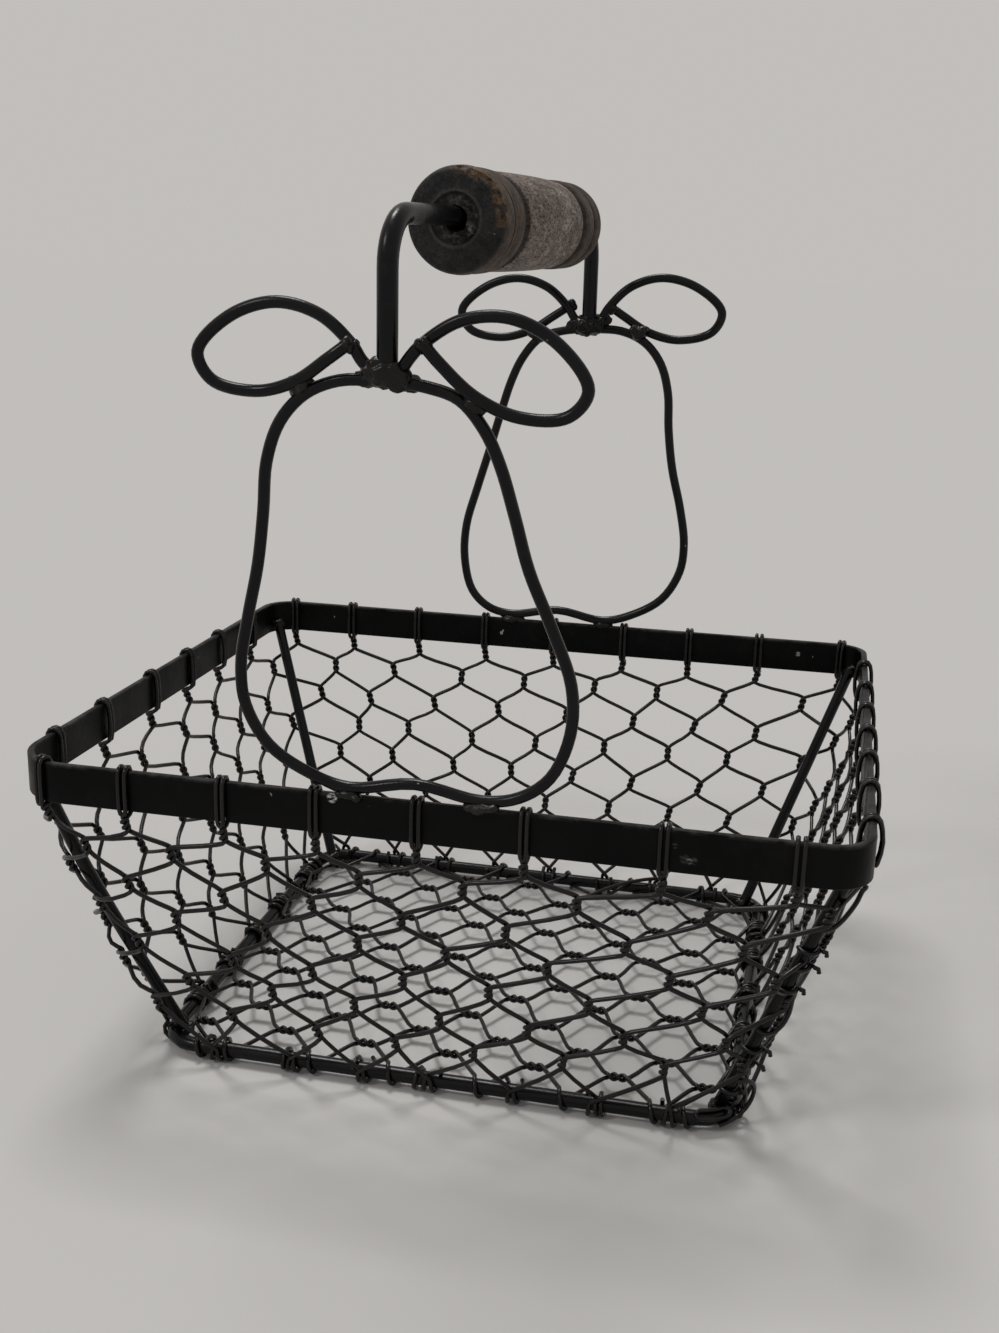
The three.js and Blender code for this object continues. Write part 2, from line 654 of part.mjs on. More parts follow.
// A pear with its leaves and welds, modelled as the front one: x to the right and y inwards, seen from
// outside, and z up from the rim's upper edge
function pearGroup({ place, height, left, right, turn }) {
  const group = new THREE.Group();
  group.rotation.z = turn;
  const add = (geometry, name, finish) => {
    const mesh = piece(geometry, `${place}_${name}`, finish);
    mesh.position.set(0, -pearY, rimTop);
    group.add(mesh);
  };
  const outline = pearPath(height);
  const leftLeaf = leafPath(outline, height, 1, left);
  const rightLeaf = leafPath(outline, height, -1, right);
  add(rod(outline, pearWire, wireSides), "pear_wire", paintedRod);
  add(rod(leftLeaf, pearWire, wireSides), "left_leaf", paintedRod);
  add(rod(rightLeaf, pearWire, wireSides), "right_leaf", paintedRod);

  const grown = (path, diameter) => rod(path, diameter + 2 * seat, wireSides);
  const wires = [outline, leftLeaf, rightLeaf].map((path) => grown(path, pearWire));
  const stemFoot = height + pearWire / 2 + seat;
  const stem = [stemFoot, stemFoot + leafHeight].map((z) => new THREE.Vector3(-stemOffset, 0, z));
  const stemMiddle = [-stemOffset, 0, height + stemWeldLift];
  add(weld(stemWeld, stemMiddle, [...wires, grown(stem, handleRod)]), "stem_weld", paintedWeld);

  const band = new THREE.BoxGeometry(rimWidth, bandThickness + 2 * seat, bandHeight);
  band.translate(0, 0, seat - bandHeight / 2);
  [
    ["left_foot_weld", -footSpread],
    ["right_foot_weld", footSpread],
  ].forEach(([name, foot]) => {
    const centre = [besideHooks(foot, longHooks), 0, footWeldLift];
    add(weld(footWeld, centre, [wires[0], band]), name, paintedWeld);
  });
  [
    ["left_leaf_weld", leftLeaf],
    ["right_leaf_weld", rightLeaf],
  ].forEach(([name, leaf]) => {
    const { middle, apart } = closest(leaf.filter((p) => Math.abs(p.x + stemOffset) > clearOfStem), outline);
    const across = Math.max(apart / 2, pearWire / 2 + seat);
    const radii = [across + leafWeldOverlap, leafWeldDepth, across + leafWeldRise];
    const centre = [middle.x, middle.y + leafWeldInset, middle.z];
    add(weld(radii, centre, wires), name, paintedWeld);
  });
  return group;
}
const frontPear = {
  place: "front",
  height: frontPearHeight,
  left: { startGap: frontLeftLeafStart, droop: frontLeftLeafDroop },
  right: { startGap: frontRightLeafStart, droop: frontRightLeafDroop },
  turn: 0,
};
const backPear = {
  place: "back",
  height: backPearHeight,
  left: { startGap: backLeftLeafStart, droop: backLeftLeafDroop },
  right: { startGap: backRightLeafStart, droop: backRightLeafDroop },
  turn: Math.PI,
};
basket.add(pearGroup(frontPear), pearGroup(backPear));

const handle = new THREE.Group();
handle.rotation.z = handleTurn;
handle.add(piece(rod(handlePath(), handleRod, rodSides), "handle_rod", paintedRod));
const grip = piece(woodenGrip(), "wooden_grip", turnedWood);
grip.position.set(0, gripShift, -gripDrop);
const sloping = new THREE.Group();
sloping.position.z = (handleFront + handleBack) / 2;
sloping.rotation.x = handleSlope;
sloping.add(grip);
handle.add(sloping);
basket.add(handle);

export default basket;
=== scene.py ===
# %% [markdown]
# # A wire egg basket
# The basket is a welded frame of painted steel: a flat band for the rim, a rod bent round for the base and
# four corner posts. Wire netting is hooked over the band and wound round the base. Two pears of bent wire
# stand on the rim, and a rod runs over the basket through a turned wooden grip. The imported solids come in
# first, in metres. Every finer piece below is fitted to them.

# %% Load the solids
import math
import random
import bpy
from mathutils import Matrix, Vector


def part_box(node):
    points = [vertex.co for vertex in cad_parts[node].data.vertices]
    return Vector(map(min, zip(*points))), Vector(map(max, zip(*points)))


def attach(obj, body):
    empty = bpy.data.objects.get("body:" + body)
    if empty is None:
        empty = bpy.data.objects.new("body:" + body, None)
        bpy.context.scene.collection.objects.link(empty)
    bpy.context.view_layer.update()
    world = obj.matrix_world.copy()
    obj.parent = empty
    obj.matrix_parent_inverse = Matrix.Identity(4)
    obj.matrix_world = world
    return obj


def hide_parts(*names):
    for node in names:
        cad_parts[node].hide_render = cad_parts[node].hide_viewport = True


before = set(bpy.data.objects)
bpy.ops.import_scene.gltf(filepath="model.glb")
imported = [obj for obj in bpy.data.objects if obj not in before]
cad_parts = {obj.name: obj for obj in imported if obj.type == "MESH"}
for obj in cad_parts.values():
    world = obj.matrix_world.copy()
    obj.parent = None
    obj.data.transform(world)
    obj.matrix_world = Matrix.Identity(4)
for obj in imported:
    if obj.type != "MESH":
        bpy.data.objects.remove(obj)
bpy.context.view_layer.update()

# %% [markdown]
# ## The camera
# The photograph was taken with a short lens, a little to the right of the basket and from the height of its
# handle. The camera's place was worked out from the straight edges of the rim, base and posts. A camera is
# turned most clearly in three steps, round the upright axis, then down, then a slight roll to the side.

# %% Place the camera
turn_left = math.radians(12.36)
look_down = math.radians(15.81)
roll = math.radians(1.45)
bpy.ops.object.camera_add(location=(0.0921, -0.4221, 0.2263))
camera = bpy.context.object
aim = Matrix.Rotation(turn_left, 3, 'Z') @ Matrix.Rotation(math.pi / 2 - look_down, 3, 'X')
camera.rotation_euler = (aim @ Matrix.Rotation(roll, 3, 'Z')).to_euler()
camera.data.lens = 39.52
camera.data.sensor_width = 36.0
camera.data.clip_start = 0.01
bpy.context.scene.camera = camera
print("camera", [round(x, 3) for x in camera.location])

# %% [markdown]
# ## Floor and light
# The basket stands on a pale, plain ground. One wide floor keeps its soft shadow. The world gives an even
# light from all sides, and shows the floor's own pale grey to the camera and to shiny paint, so that no
# line is seen where the floor ends. Two wide suns act as large studio lamps. The stronger one stands high
# behind the basket, because the shadows in the photograph fall to the front, and the weaker one fills in
# from the front left. Floor, light and finishes are all node trees, which a few small helpers fill in.

# %% Lay the floor
def put(value, socket):
    """Links another node's output to a socket, or sets a number, a colour or a place on it."""
    if isinstance(value, bpy.types.NodeSocket):
        socket.id_data.links.new(value, socket)
    elif value is not None:
        socket.default_value = (*value, 1.0) if socket.type == 'RGBA' else value


def set_surface(material, colour, gloss, rough, normal=None):
    shader = material.node_tree.nodes["Principled BSDF"].inputs
    put(colour, shader["Base Color"])
    put(gloss, shader["Specular IOR Level"])
    put(rough, shader["Roughness"])
    put(normal, shader["Normal"])


bpy.ops.mesh.primitive_plane_add(size=30.0)
floor = bpy.context.object
floor.name = "floor"
pale_ground = bpy.data.materials.new("pale_ground")
pale_ground.use_nodes = True
set_surface(pale_ground, (0.53, 0.515, 0.50), 0.0, 0.9)
floor.data.materials.append(pale_ground)
print("floor of", pale_ground.name)

# %% Light the scene
def node(near, kind, output, into, **settings):
    """A new node in the tree of another one's socket, filled in. Gives back one of its outputs."""
    made = near.id_data.nodes.new("ShaderNode" + kind)
    for key, value in settings.items():
        setattr(made, key, value)
    for key, value in into.items():
        put(value, made.inputs[key])
    return made.outputs[output]


def hang_sun(name, place, strength, width):
    bpy.ops.object.light_add(type='SUN', location=place)
    lamp = bpy.context.object
    lamp.name = name
    lamp.data.energy = strength
    lamp.data.angle = math.radians(width)
    lamp.rotation_euler = (-lamp.location).to_track_quat('-Z', 'Y').to_euler()


world = bpy.data.worlds.new("soft_room")
bpy.context.scene.world = world
world.use_nodes = True
room = world.node_tree
even_light = room.nodes["Background"]
put((1.0, 0.99, 0.97), even_light.inputs["Color"])
put(0.45, even_light.inputs["Strength"])
seen_wall = node(room, "Background", 0, {"Color": (0.54, 0.522, 0.50)})
ray = room.nodes.new("ShaderNodeLightPath").outputs
seen = node(room, "Math", 0, {0: ray["Is Camera Ray"], 1: ray["Is Glossy Ray"]}, operation='MAXIMUM')
seen = node(room, "Math", 0, {0: seen, 1: ray["Is Transmission Ray"]}, operation='MAXIMUM')
shown = node(room, "MixShader", 0, {0: seen, 1: even_light.outputs[0], 2: seen_wall})
put(shown, room.nodes["World Output"].inputs["Surface"])
hang_sun("key_lamp", (-0.35, 0.5, 1.5), 1.5, 19.0)
hang_sun("fill_lamp", (-0.9, -0.8, 1.1), 0.55, 12.0)
bpy.context.scene.view_settings.view_transform = 'Standard'

# %% [markdown]
# ## Finishes
# Everything but the grip is steel with a black satin coat, thin and old: it has a fine ripple, dull and
# shiny places, brown dust and a few small chips. A node tree on Object coordinates gives the same pattern
# from every side, because each piece's place is kept in its mesh. The helpers below keep each tree short.

# %% Helpers for node trees
def noise(where, scale, detail=4.0, roughness=0.55):
    into = {"Vector": where, "Scale": scale, "Detail": detail, "Roughness": roughness}
    return node(where, "TexNoise", "Fac", into)


def span(value, low, high, to_low=0.0, to_high=1.0):
    """A value's run from low to high becomes a run from to_low to to_high."""
    into = dict(enumerate((value, low, high, to_low, to_high)))
    return node(value, "MapRange", "Result", into)


def both(first, second, operation='MULTIPLY'):
    return node(first, "Math", 0, {0: first, 1: second}, operation=operation, use_clamp=True)


def opposite(share):
    return span(share, 0.0, 1.0, 1.0, 0.0)


def blend_colour(share, first, second):
    return node(share, "Mix", 2, {0: share, 6: first, 7: second}, data_type='RGBA')


def roughen(height, strength, distance, after=None):
    into = {"Height": height, "Strength": strength, "Distance": distance, "Normal": after}
    return node(height, "Bump", "Normal", into)


def scaled(where, scale):
    return node(where, "Mapping", 0, {"Vector": where, "Scale": scale})


def distance_to(where, spot):
    return node(where, "VectorMath", "Value", {0: where, 1: spot}, operation='DISTANCE')


def axis_of(where, axis):
    return node(where, "SeparateXYZ", axis, {0: where})


def begin_finish(name):
    """A new finish, and the Object coordinates in its tree."""
    finish = bpy.data.materials.new(name)
    finish.use_nodes = True
    return finish, node(finish.node_tree, "TexCoord", "Object", {})


print("node helpers ready")

# %% [markdown]
# ## Black paint on rods, netting and welds
# One recipe serves all three, with its own darkness, shine and chips for each. A slow noise mixes two near
# blacks, a finer one dulls the shine in patches, and a very fine one is the ripple of the coat. Chips are
# the few peaks of a sharp noise, where pale primer shows.

# %% Mix the black paints
def black_paint(name, deep, faded, gloss, shine, dull, chips, ripple):
    finish, where = begin_finish(name)
    coat = blend_colour(span(noise(where, 45.0), 0.35, 0.68), deep, faded)
    dust = both(span(noise(where, 160.0, 6.0, 0.7), 0.56, 0.75), 0.5)
    coat = blend_colour(dust, coat, (0.013, 0.0105, 0.009))
    flakes = span(noise(where, 420.0, 2.0, 0.4), 1.0 - chips, 1.02 - chips)
    coat = blend_colour(flakes, coat, (0.24, 0.21, 0.18))
    rough = span(noise(where, 90.0, 3.0), 0.3, 0.7, shine, dull)
    grain = roughen(noise(where, 900.0, 3.0), ripple, 0.0004)
    waves = roughen(noise(where, 230.0, 2.0), ripple * 0.8, 0.0008, grain)
    set_surface(finish, coat, gloss, rough, waves)
    return finish


rod_paint = black_paint("black_on_rods", (0.0014, 0.0014, 0.0022), (0.0042, 0.0038, 0.0046),
                        0.20, 0.17, 0.32, 0.20, 0.08)
wire_paint = black_paint("black_on_netting", (0.0024, 0.0020, 0.0022), (0.0072, 0.0060, 0.0058),
                         0.29, 0.18, 0.34, 0.18, 0.08)
weld_paint = black_paint("black_on_welds", (0.0016, 0.0016, 0.0017), (0.015, 0.0135, 0.0125),
                         0.22, 0.18, 0.38, 0.19, 0.15)
print("paints", rod_paint.name, wire_paint.name, weld_paint.name)

# %% [markdown]
# ## Paint on the band
# The band's upper edge is rubbed by hands and by the hooks of the netting. Its height above the floor is
# read from the Object coordinates: near the top edge a broken noise lets a lighter grey through. Small pale
# flakes are scattered over it, and larger ones are seen from the front: a white drip beside the left foot of
# the pear and a smeared scuff to the right. Each is made of soft balls round a spot, broken up by noise.

# %% Mix the band's paint
mm = 0.001
rim_low, rim_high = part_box("rim_band")
band_paint, where = begin_finish("grey_black_on_band")
coat = blend_colour(span(noise(where, 38.0), 0.35, 0.68), (0.0015, 0.0015, 0.0016), (0.0036, 0.0035, 0.0034))
dust = both(span(noise(where, 140.0, 6.0, 0.7), 0.54, 0.72), 0.5)
coat = blend_colour(dust, coat, (0.009, 0.008, 0.0072))
near_top = span(axis_of(where, "Z"), rim_high.z - 1.0 * mm, rim_high.z - 0.25 * mm)
rubbed = both(near_top, span(noise(where, 120.0, 5.0, 0.65), 0.44, 0.62))
coat = blend_colour(both(rubbed, 0.6), coat, (0.055, 0.053, 0.050))
streaks = scaled(where, (1.0, 1.0, 0.5))
flakes = span(noise(streaks, 480.0, 2.0, 0.4), 0.775, 0.80)
coat = blend_colour(flakes, coat, (0.30, 0.28, 0.24))
smeared = scaled(where, (0.45, 1.0, 1.0))
broken = span(noise(smeared, 1500.0, 4.0, 0.65), 0.40, 0.60)
scuffs = {"white drip": ((-21.2, -96.5, 94.2), 1.5, (0.80, 0.79, 0.76)),
          "upper scuff": ((64.6, -96.5, 91.3), 0.8, (0.07, 0.068, 0.066)),
          "lower smear": ((67.0, -96.5, 88.2), 1.4, (0.040, 0.039, 0.038)),
          "lower streak": ((69.4, -96.5, 87.9), 1.1, (0.050, 0.049, 0.047)),
          "lower scuff": ((68.3, -96.5, 87.7), 0.9, (0.21, 0.205, 0.195)),
          "back scuff": ((88.0, 94.5, 90.6), 1.0, (0.45, 0.41, 0.33))}
for spot, reach, tone in scuffs.values():
    away = distance_to(where, Vector(spot) * mm)
    here = both(span(away, reach * mm, reach * 0.55 * mm), broken)
    coat = blend_colour(here, coat, tone)
rough = span(noise(where, 80.0, 3.0), 0.3, 0.7, 0.30, 0.46)
grain = roughen(noise(where, 800.0, 3.0), 0.12, 0.0004)
set_surface(band_paint, coat, 0.08, rough, roughen(noise(where, 160.0, 2.0), 0.15, 0.001, grain))
print("band paint reaches", round(rim_high.z, 4), "with", len(scuffs), "scuffs")

# %% [markdown]
# ## Finishing a piece
# Every piece ends the same way: its place is applied into its mesh, it gets its finish, it rides on the
# basket or on the grip, and it may stand for one of the solids, which is then hidden. A few small helpers
# do this, so that the cells below only shape things.

# %% Helpers for pieces
def modify(piece, kind, **settings):
    made = piece.modifiers.new(kind.lower(), kind)
    for key, value in settings.items():
        setattr(made, key, value)


def apply_modifiers(piece):
    for modifier in list(piece.modifiers):
        bpy.ops.object.modifier_apply(modifier=modifier.name)


def apply_place():
    bpy.ops.object.transform_apply(location=True, rotation=True, scale=True)


def finish_piece(name, finish, nodes=(), body="basket", angle=40.0):
    piece = bpy.context.object
    apply_modifiers(piece)
    apply_place()
    bpy.ops.object.shade_smooth_by_angle(angle=math.radians(angle))
    apply_modifiers(piece)
    piece.name = name
    piece.data.name = name
    piece.data.materials.clear()
    piece.data.materials.append(finish)
    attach(piece, body)
    if nodes:
        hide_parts(*nodes)
    print(name, len(piece.data.polygons), "faces")


print("piece helpers ready")

# %% [markdown]
# ## The rim band
# The rim is a strip of steel on edge, bent into a rounded rectangle. It could be a box with its middle cut
# out, but a strip is closer to how it is made: a plane gets its corners rounded, loses its face, and the
# outline that is left is drawn upwards into a wall. Solidify gives the wall its two millimetres and Bevel
# takes the sharpness from its edges. The front left corner was bent less sharply than the other three.

# %% Bend the rim band
band_thickness = 2.0 * mm
band_corner = 11.0 * mm
wide_corner = 15.5 * mm
bpy.ops.mesh.primitive_plane_add(size=1.0, location=(0.0, 0.0, rim_low.z))
band = bpy.context.object
band.scale = (rim_high.x - rim_low.x, rim_high.y - rim_low.y, 1.0)
apply_place()
bpy.ops.object.mode_set(mode='EDIT')
bpy.ops.mesh.select_mode(type='VERT')
bpy.ops.mesh.select_all(action='DESELECT')
bpy.ops.object.mode_set(mode='OBJECT')
for corner in band.data.vertices:
    corner.select = corner.co.x < 0 and corner.co.y < 0
bpy.ops.object.mode_set(mode='EDIT')
bpy.ops.mesh.bevel(offset=wide_corner, segments=10, affect='VERTICES')
bpy.ops.mesh.select_all(action='INVERT')
bpy.ops.mesh.bevel(offset=band_corner, segments=10, affect='VERTICES')
bpy.ops.mesh.select_all(action='SELECT')
bpy.ops.mesh.delete(type='ONLY_FACE')
bpy.ops.mesh.select_all(action='SELECT')
bpy.ops.mesh.extrude_region_move(TRANSFORM_OT_translate={"value": (0.0, 0.0, rim_high.z - rim_low.z)})
bpy.ops.mesh.select_all(action='SELECT')
bpy.ops.mesh.normals_make_consistent(inside=False)
bpy.ops.object.mode_set(mode='OBJECT')
modify(band, 'SOLIDIFY', thickness=band_thickness, offset=-1.0)
modify(band, 'BEVEL', width=0.45 * mm, segments=3, limit_method='ANGLE', angle_limit=math.radians(50.0))
finish_piece("rim_band_strip", band_paint, ["rim_band"])

# %% [markdown]
# ## Bending wire
# Most of the basket is bent wire. A curve is the natural tool: its points are the bends, its bevel is the
# wire's thickness, and caps close the cut ends. Where only a few bends are known, smooth_bends first fills
# in a flowing line through them that doesn't overshoot. The curve then becomes a mesh. Base rod, hooks and
# windings follow rounded rectangles, so along_side finds a spot on one, with its direction and its outside.

# %% A helper that bends wire
def bend_wire(bends, thickness, sides, closed=False):
    """bends is a list of rows of points, one row for each length of wire."""
    bpy.ops.curve.primitive_nurbs_path_add(location=(0.0, 0.0, 0.0))
    curve = bpy.context.object.data
    curve.splines.clear()
    for row in bends:
        spline = curve.splines.new('POLY')
        spline.points.add(len(row) - 1)
        for point, spot in zip(spline.points, row):
            point.co = (*spot, 1.0)
        spline.use_cyclic_u = closed
    curve.bevel_depth = thickness / 2
    curve.bevel_resolution = (sides - 4) // 2
    curve.use_fill_caps = True
    bpy.ops.object.convert(target='MESH')


def smooth_bends(bends, steps=6):
    """A flowing line through a few bends, with its speed set by the gaps between them."""
    reach = [bends[0] * 2 - bends[1]] + list(bends) + [bends[-1] * 2 - bends[-2]]
    path = []
    for a, b, c, d in zip(reach, reach[1:], reach[2:], reach[3:]):
        at_b = math.sqrt((b - a).length)
        at_c = at_b + math.sqrt((c - b).length)
        at_d = at_c + math.sqrt((d - c).length)
        for step in range(steps):
            share = step / steps
            now = at_b + (at_c - at_b) * share
            middle = b.lerp(c, share)
            before = a.lerp(b, now / at_b).lerp(middle, now / at_c)
            beyond = c.lerp(d, (now - at_c) / (at_d - at_c))
            after = middle.lerp(beyond, share * (at_c - at_b) / (at_d - at_b))
            path.append(before.lerp(after, share))
    path.append(bends[-1])
    return path


def side_length(width, depth, corner, side):
    """A side of a rounded rectangle, with half of the bend at each of its ends."""
    return (width if side % 2 == 0 else depth) - 2 * corner + corner * math.pi / 2


def along_side(width, depth, corner, place, off=0.0):
    """A spot on a rounded rectangle or off it, with its heading and its outward side.
    place runs from 0 to 4: front, right, back, left."""
    side = math.floor(place) % 4
    corner += off
    reach = (depth if side % 2 == 0 else width) / 2 + off
    quarter = corner * math.pi / 4
    whole = side_length(width + 2 * off, depth + 2 * off, corner, side)
    run = whole - 2 * quarter
    far = (place - math.floor(place)) * whole - quarter
    straight = max(0.0, min(run, far))
    turn = (far - straight) / corner
    x = straight - run / 2 + corner * math.sin(turn)
    spot = Vector((x, -(reach - corner + corner * math.cos(turn)), 0.0))
    swing = Matrix.Rotation(side * math.pi / 2, 3, 'Z')
    heading = swing @ Vector((math.cos(turn), math.sin(turn), 0.0))
    return swing @ spot, heading, Vector((heading.y, -heading.x, 0.0))


print("front middle", along_side(2.0, 1.0, 0.1, 0.5)[0])

# %% [markdown]
# ## Base rod
# The base is a thicker rod, bent round and joined end to end. It is a closed wire whose points come from the
# same rounded rectangle that the netting will use, so the windings of the netting fit round it.

# %% Bend the base rod
base_width = 164.0 * mm
base_depth = 144.0 * mm
base_corner = 10.0 * mm
base_rod = 4.2 * mm
base_height = 3.5 * mm
lift = Vector((0.0, 0.0, 1.0))


def on_base(place):
    return along_side(base_width, base_depth, base_corner, place)


around = [on_base(4.0 * step / 160)[0] + lift * base_height for step in range(160)]
bend_wire([around], base_rod, sides=14, closed=True)
finish_piece("base_rod", rod_paint, ["base_ring"], angle=60.0)

# %% [markdown]
# ## Corner posts
# Each post is a rod from the base's corner up to the inside of the band, leaning outwards. It is bent
# through three points, because the front left one has a slight bow. No two posts stand quite alike: their
# ends were measured one by one. Their welds follow further on.

# %% Stand the corner posts
post_rod = 3.6 * mm
post_ends = {"front_left_post": ((-77.2, -66.0, 3.5), (-105.2, -90.2, 88.3)),
             "front_right_post": ((77.6, -66.0, 3.5), (107.4, -87.0, 88.3)),
             "back_right_post": ((76.0, 66.0, 3.5), (106.6, 88.6, 88.3)),
             "back_left_post": ((-77.4, 66.0, 3.5), (-106.6, 88.6, 88.3))}
post_bow = {"front_left_post": -1.8 * mm}
for name, (low, high) in post_ends.items():
    foot = Vector(low) * mm
    head = Vector(high) * mm
    bowed = foot.lerp(head, 0.62) + Vector((post_bow.get(name, 0.0), 0.0, 0.0))
    bend_wire([smooth_bends([foot, bowed, head], 8)], post_rod, sides=16)
    finish_piece(name + "_rod", rod_paint, [name], angle=50.0)

# %% [markdown]
# ## How the netting is made
# Hexagon netting is woven from wires that run side by side. Two neighbours are twisted together for one and
# a half turns, part, and each is twisted with its other neighbour in the next row. A twist shows as two small
# lobes between three crossings. One wire never stays in its column: it runs down the sheet at a slant, half a
# cell for each row. Modelled wire by wire, it gets the real twists and the gentle bends between them.

# %% A twist and a leg of the netting
wire = 1.3 * mm
twist_length = 5.1 * mm


def twist_turns(middle, down, across, enters, length=twist_length):
    """One wire through a twist, which it enters from the left (-1) or from the right (1)."""
    out = down.cross(across).normalized()
    spots = []
    for step in range(17):
        share = step / 16
        turned = math.radians((180 if enters < 0 else 0) + 50 + 440 * share)
        swing = across * math.cos(turned) + out * math.sin(turned)
        spots.append(middle + down * ((share - 0.5) * length) + swing * (wire * 0.52))
    return spots


def leg_spots(last, first, down, bow, out=Vector()):
    """The stretch between two twists: almost straight, and a little out of the sheet in its middle."""
    spots = []
    for share, lifted, swollen in ((0.1, -0.3, 0.4), (0.36, -0.3, 0.95), (0.64, 0.1, 0.95), (0.9, 0.3, 0.35)):
        spots.append(last.lerp(first, share) - down * (lifted * bow) + out * swollen)
    return spots


print("twist of", len(twist_turns(Vector(), Vector((0, 0, -1)), Vector((1, 0, 0)), -1)), "spots")

# %% [markdown]
# ## Where the netting hooks on
# The hooks over the band aren't evenly spaced, because the netting was stretched by hand. Their places were
# measured in the photograph, side by side round the rim. Each side of the netting is a slope from the band
# down to the base rod, so a spot on it needs two numbers: how far round, and how far down. A straight strip
# can't lie square on such slopes: its columns lean, three millimetres or so for each row. The slope swells a
# little along the sides and is drawn in at the two front posts, most at the right one, where the strip ends.

# %% Columns and rows of the side netting
def in_mm(*values):
    return [value * mm for value in values]


rim_width = rim_high.x - rim_low.x - band_thickness
rim_depth = rim_high.y - rim_low.y - band_thickness
net_corner = band_corner - band_thickness / 2
hook_places = [[-102.6, -78, -51, -26, 0.6, 28, 62, 94], [-76, -50, -26, -3, 20, 44, 70],
               [-103, -74, -49, -25, 1, 27, 53, 79, 102], [-70, -41, -15, 12, 44, 72]]
columns = []
for side, places in enumerate(hook_places):
    whole = side_length(rim_width, rim_depth, net_corner, side)
    columns += [side + 0.5 + spot * mm / whole for spot in places]

row_step = 11.2 * mm
first_row = 4.2 * mm
second_row = 13.2 * mm
twist_rows = 7
foot_reach = base_rod / 2 + wire / 2
under_face = 1.5 * mm
lean = in_mm(4.2, 2.0, 3.0, 3.2, 4.4, 3.0, 2.2, 3.9)
side_swell = in_mm(0.6, 0.8, 0.4, 0.8)
corner_swell = in_mm(-1.2, -4.4, 0.3, 0.3)
corner_reach = [0.09, 0.22, 0.12, 0.12]
leg_swell = in_mm(0.25, 0.9, 0.4, 0.9)
corner_leg_swell = in_mm(2.2, 0.0, 0.3, 0.3)
print(len(columns), "hooks round the rim")

# %% A spot on the slope of the side netting
def swell_at(place, sides, corners):
    """How far the netting stands out: a side's own value, or a corner's within the reach of that corner."""
    corner = round(place)
    near = max(0.0, 1.0 - abs(place - corner) / corner_reach[corner % 4])
    return sides[math.floor(place) % 4] * (1.0 - near) + corners[corner % 4] * near


def lean_at(place, row):
    """How far round a column has moved at a row, in the same measure as place."""
    half = math.floor(place * 2)
    share = place * 2 - half
    each_row = lean[half % 8] * (1 - share) + lean[(half + 1) % 8] * share
    return -each_row * row / (rim_depth if math.floor(place) % 2 else rim_width)


def column_place(column):
    whole = math.floor(column)
    lap, here = divmod(whole, len(columns))
    after = columns[(here + 1) % len(columns)] + (4.0 if here + 1 == len(columns) else 0.0)
    return 4.0 * lap + columns[here] + (after - columns[here]) * (column - whole)


def corner_at(place):
    """The bend of the band's middle line at a place: wider near the front left corner."""
    near = abs((place + 2.0) % 4.0 - 2.0) < 0.1
    return wide_corner - band_thickness / 2 if near else net_corner


def on_slope(place, far_down):
    """A spot on the slope, with the ways down it and across it."""
    top, heading, _ = along_side(rim_width, rim_depth, corner_at(place), place, under_face)
    low, low_heading, _ = along_side(base_width, base_depth, net_corner, place, foot_reach)
    top.z = rim_low.z
    low.z = base_height
    slope = low - top
    share = far_down / slope.length
    across = heading.lerp(low_heading, min(share, 1.0)).normalized()
    down = slope.normalized()
    swell = swell_at(place, side_swell, corner_swell)
    swell *= math.sqrt(math.sin(math.pi * max(0.0, min(1.0, share))))
    return top + slope * share + down.cross(across) * swell, down, across


print("middle of the front", [round(x, 4) for x in on_slope(0.5, 4 * row_step)[0]])

# %% [markdown]
# ## Hooks and windings
# A hook is one bend of wire: it comes up inside the band, goes over its top edge and down outside, turns in a
# small U below the band and goes back beside itself. It bows off the band a little, most of all on the right
# side, where the strip is slack. At the bottom each wire is wound round the base rod and its end is left as a
# short stub.

# %% Helpers for hooks and windings
def over_band(place, gap, slack):
    """One hook, from the right wire of its twist to the left one; slack is how far it bows off the band."""
    spot, heading, out = along_side(rim_width, rim_depth, corner_at(place), place)
    clear = band_thickness / 2 + wire / 2 + 0.1 * mm
    low = rim_low.z
    top = rim_high.z
    one_way = [(0.5, low - 1.9 * mm, 0.55, 0.0), (-0.35, low - 1.35 * mm, 0.75, -0.1),
               (-0.9, low - 0.3 * mm, 0.9, -0.4), (-1.0, low + 2.0 * mm, 1.0, -0.8),
               (-1.0, low + 5.0 * mm, 1.0, -1.0), (-1.0, top - 2.6 * mm, 1.0, -0.7),
               (-0.97, top - 0.6 * mm, 1.0, -0.25), (-0.62, top + 0.6 * mm, 1.0, 0.0),
               (0.0, top + 0.95 * mm, 0.95, 0.0), (0.62, top + 0.6 * mm, 1.0, 0.0),
               (0.97, top - 0.6 * mm, 1.0, 0.25), (1.0, top - 2.6 * mm, 1.0, 0.7),
               (1.0, top - 5.5 * mm, 1.0, 1.0), (1.0, low + 2.6 * mm, 1.0, 0.8),
               (1.0, low + 0.6 * mm, 0.95, 0.4), (1.0, low - 0.4 * mm, 0.72, 0.2),
               (0.98, low - 0.85 * mm, 0.3, 0.1)]
    spots = []
    for away, height, wide, bowed in one_way:
        spots.append(spot + heading * (gap * wide) + out * (away * clear + bowed * slack) + lift * height)
    back = [found - heading * (2 * gap * bend[2]) for found, bend in zip(spots, one_way)]
    return spots + back[::-1]


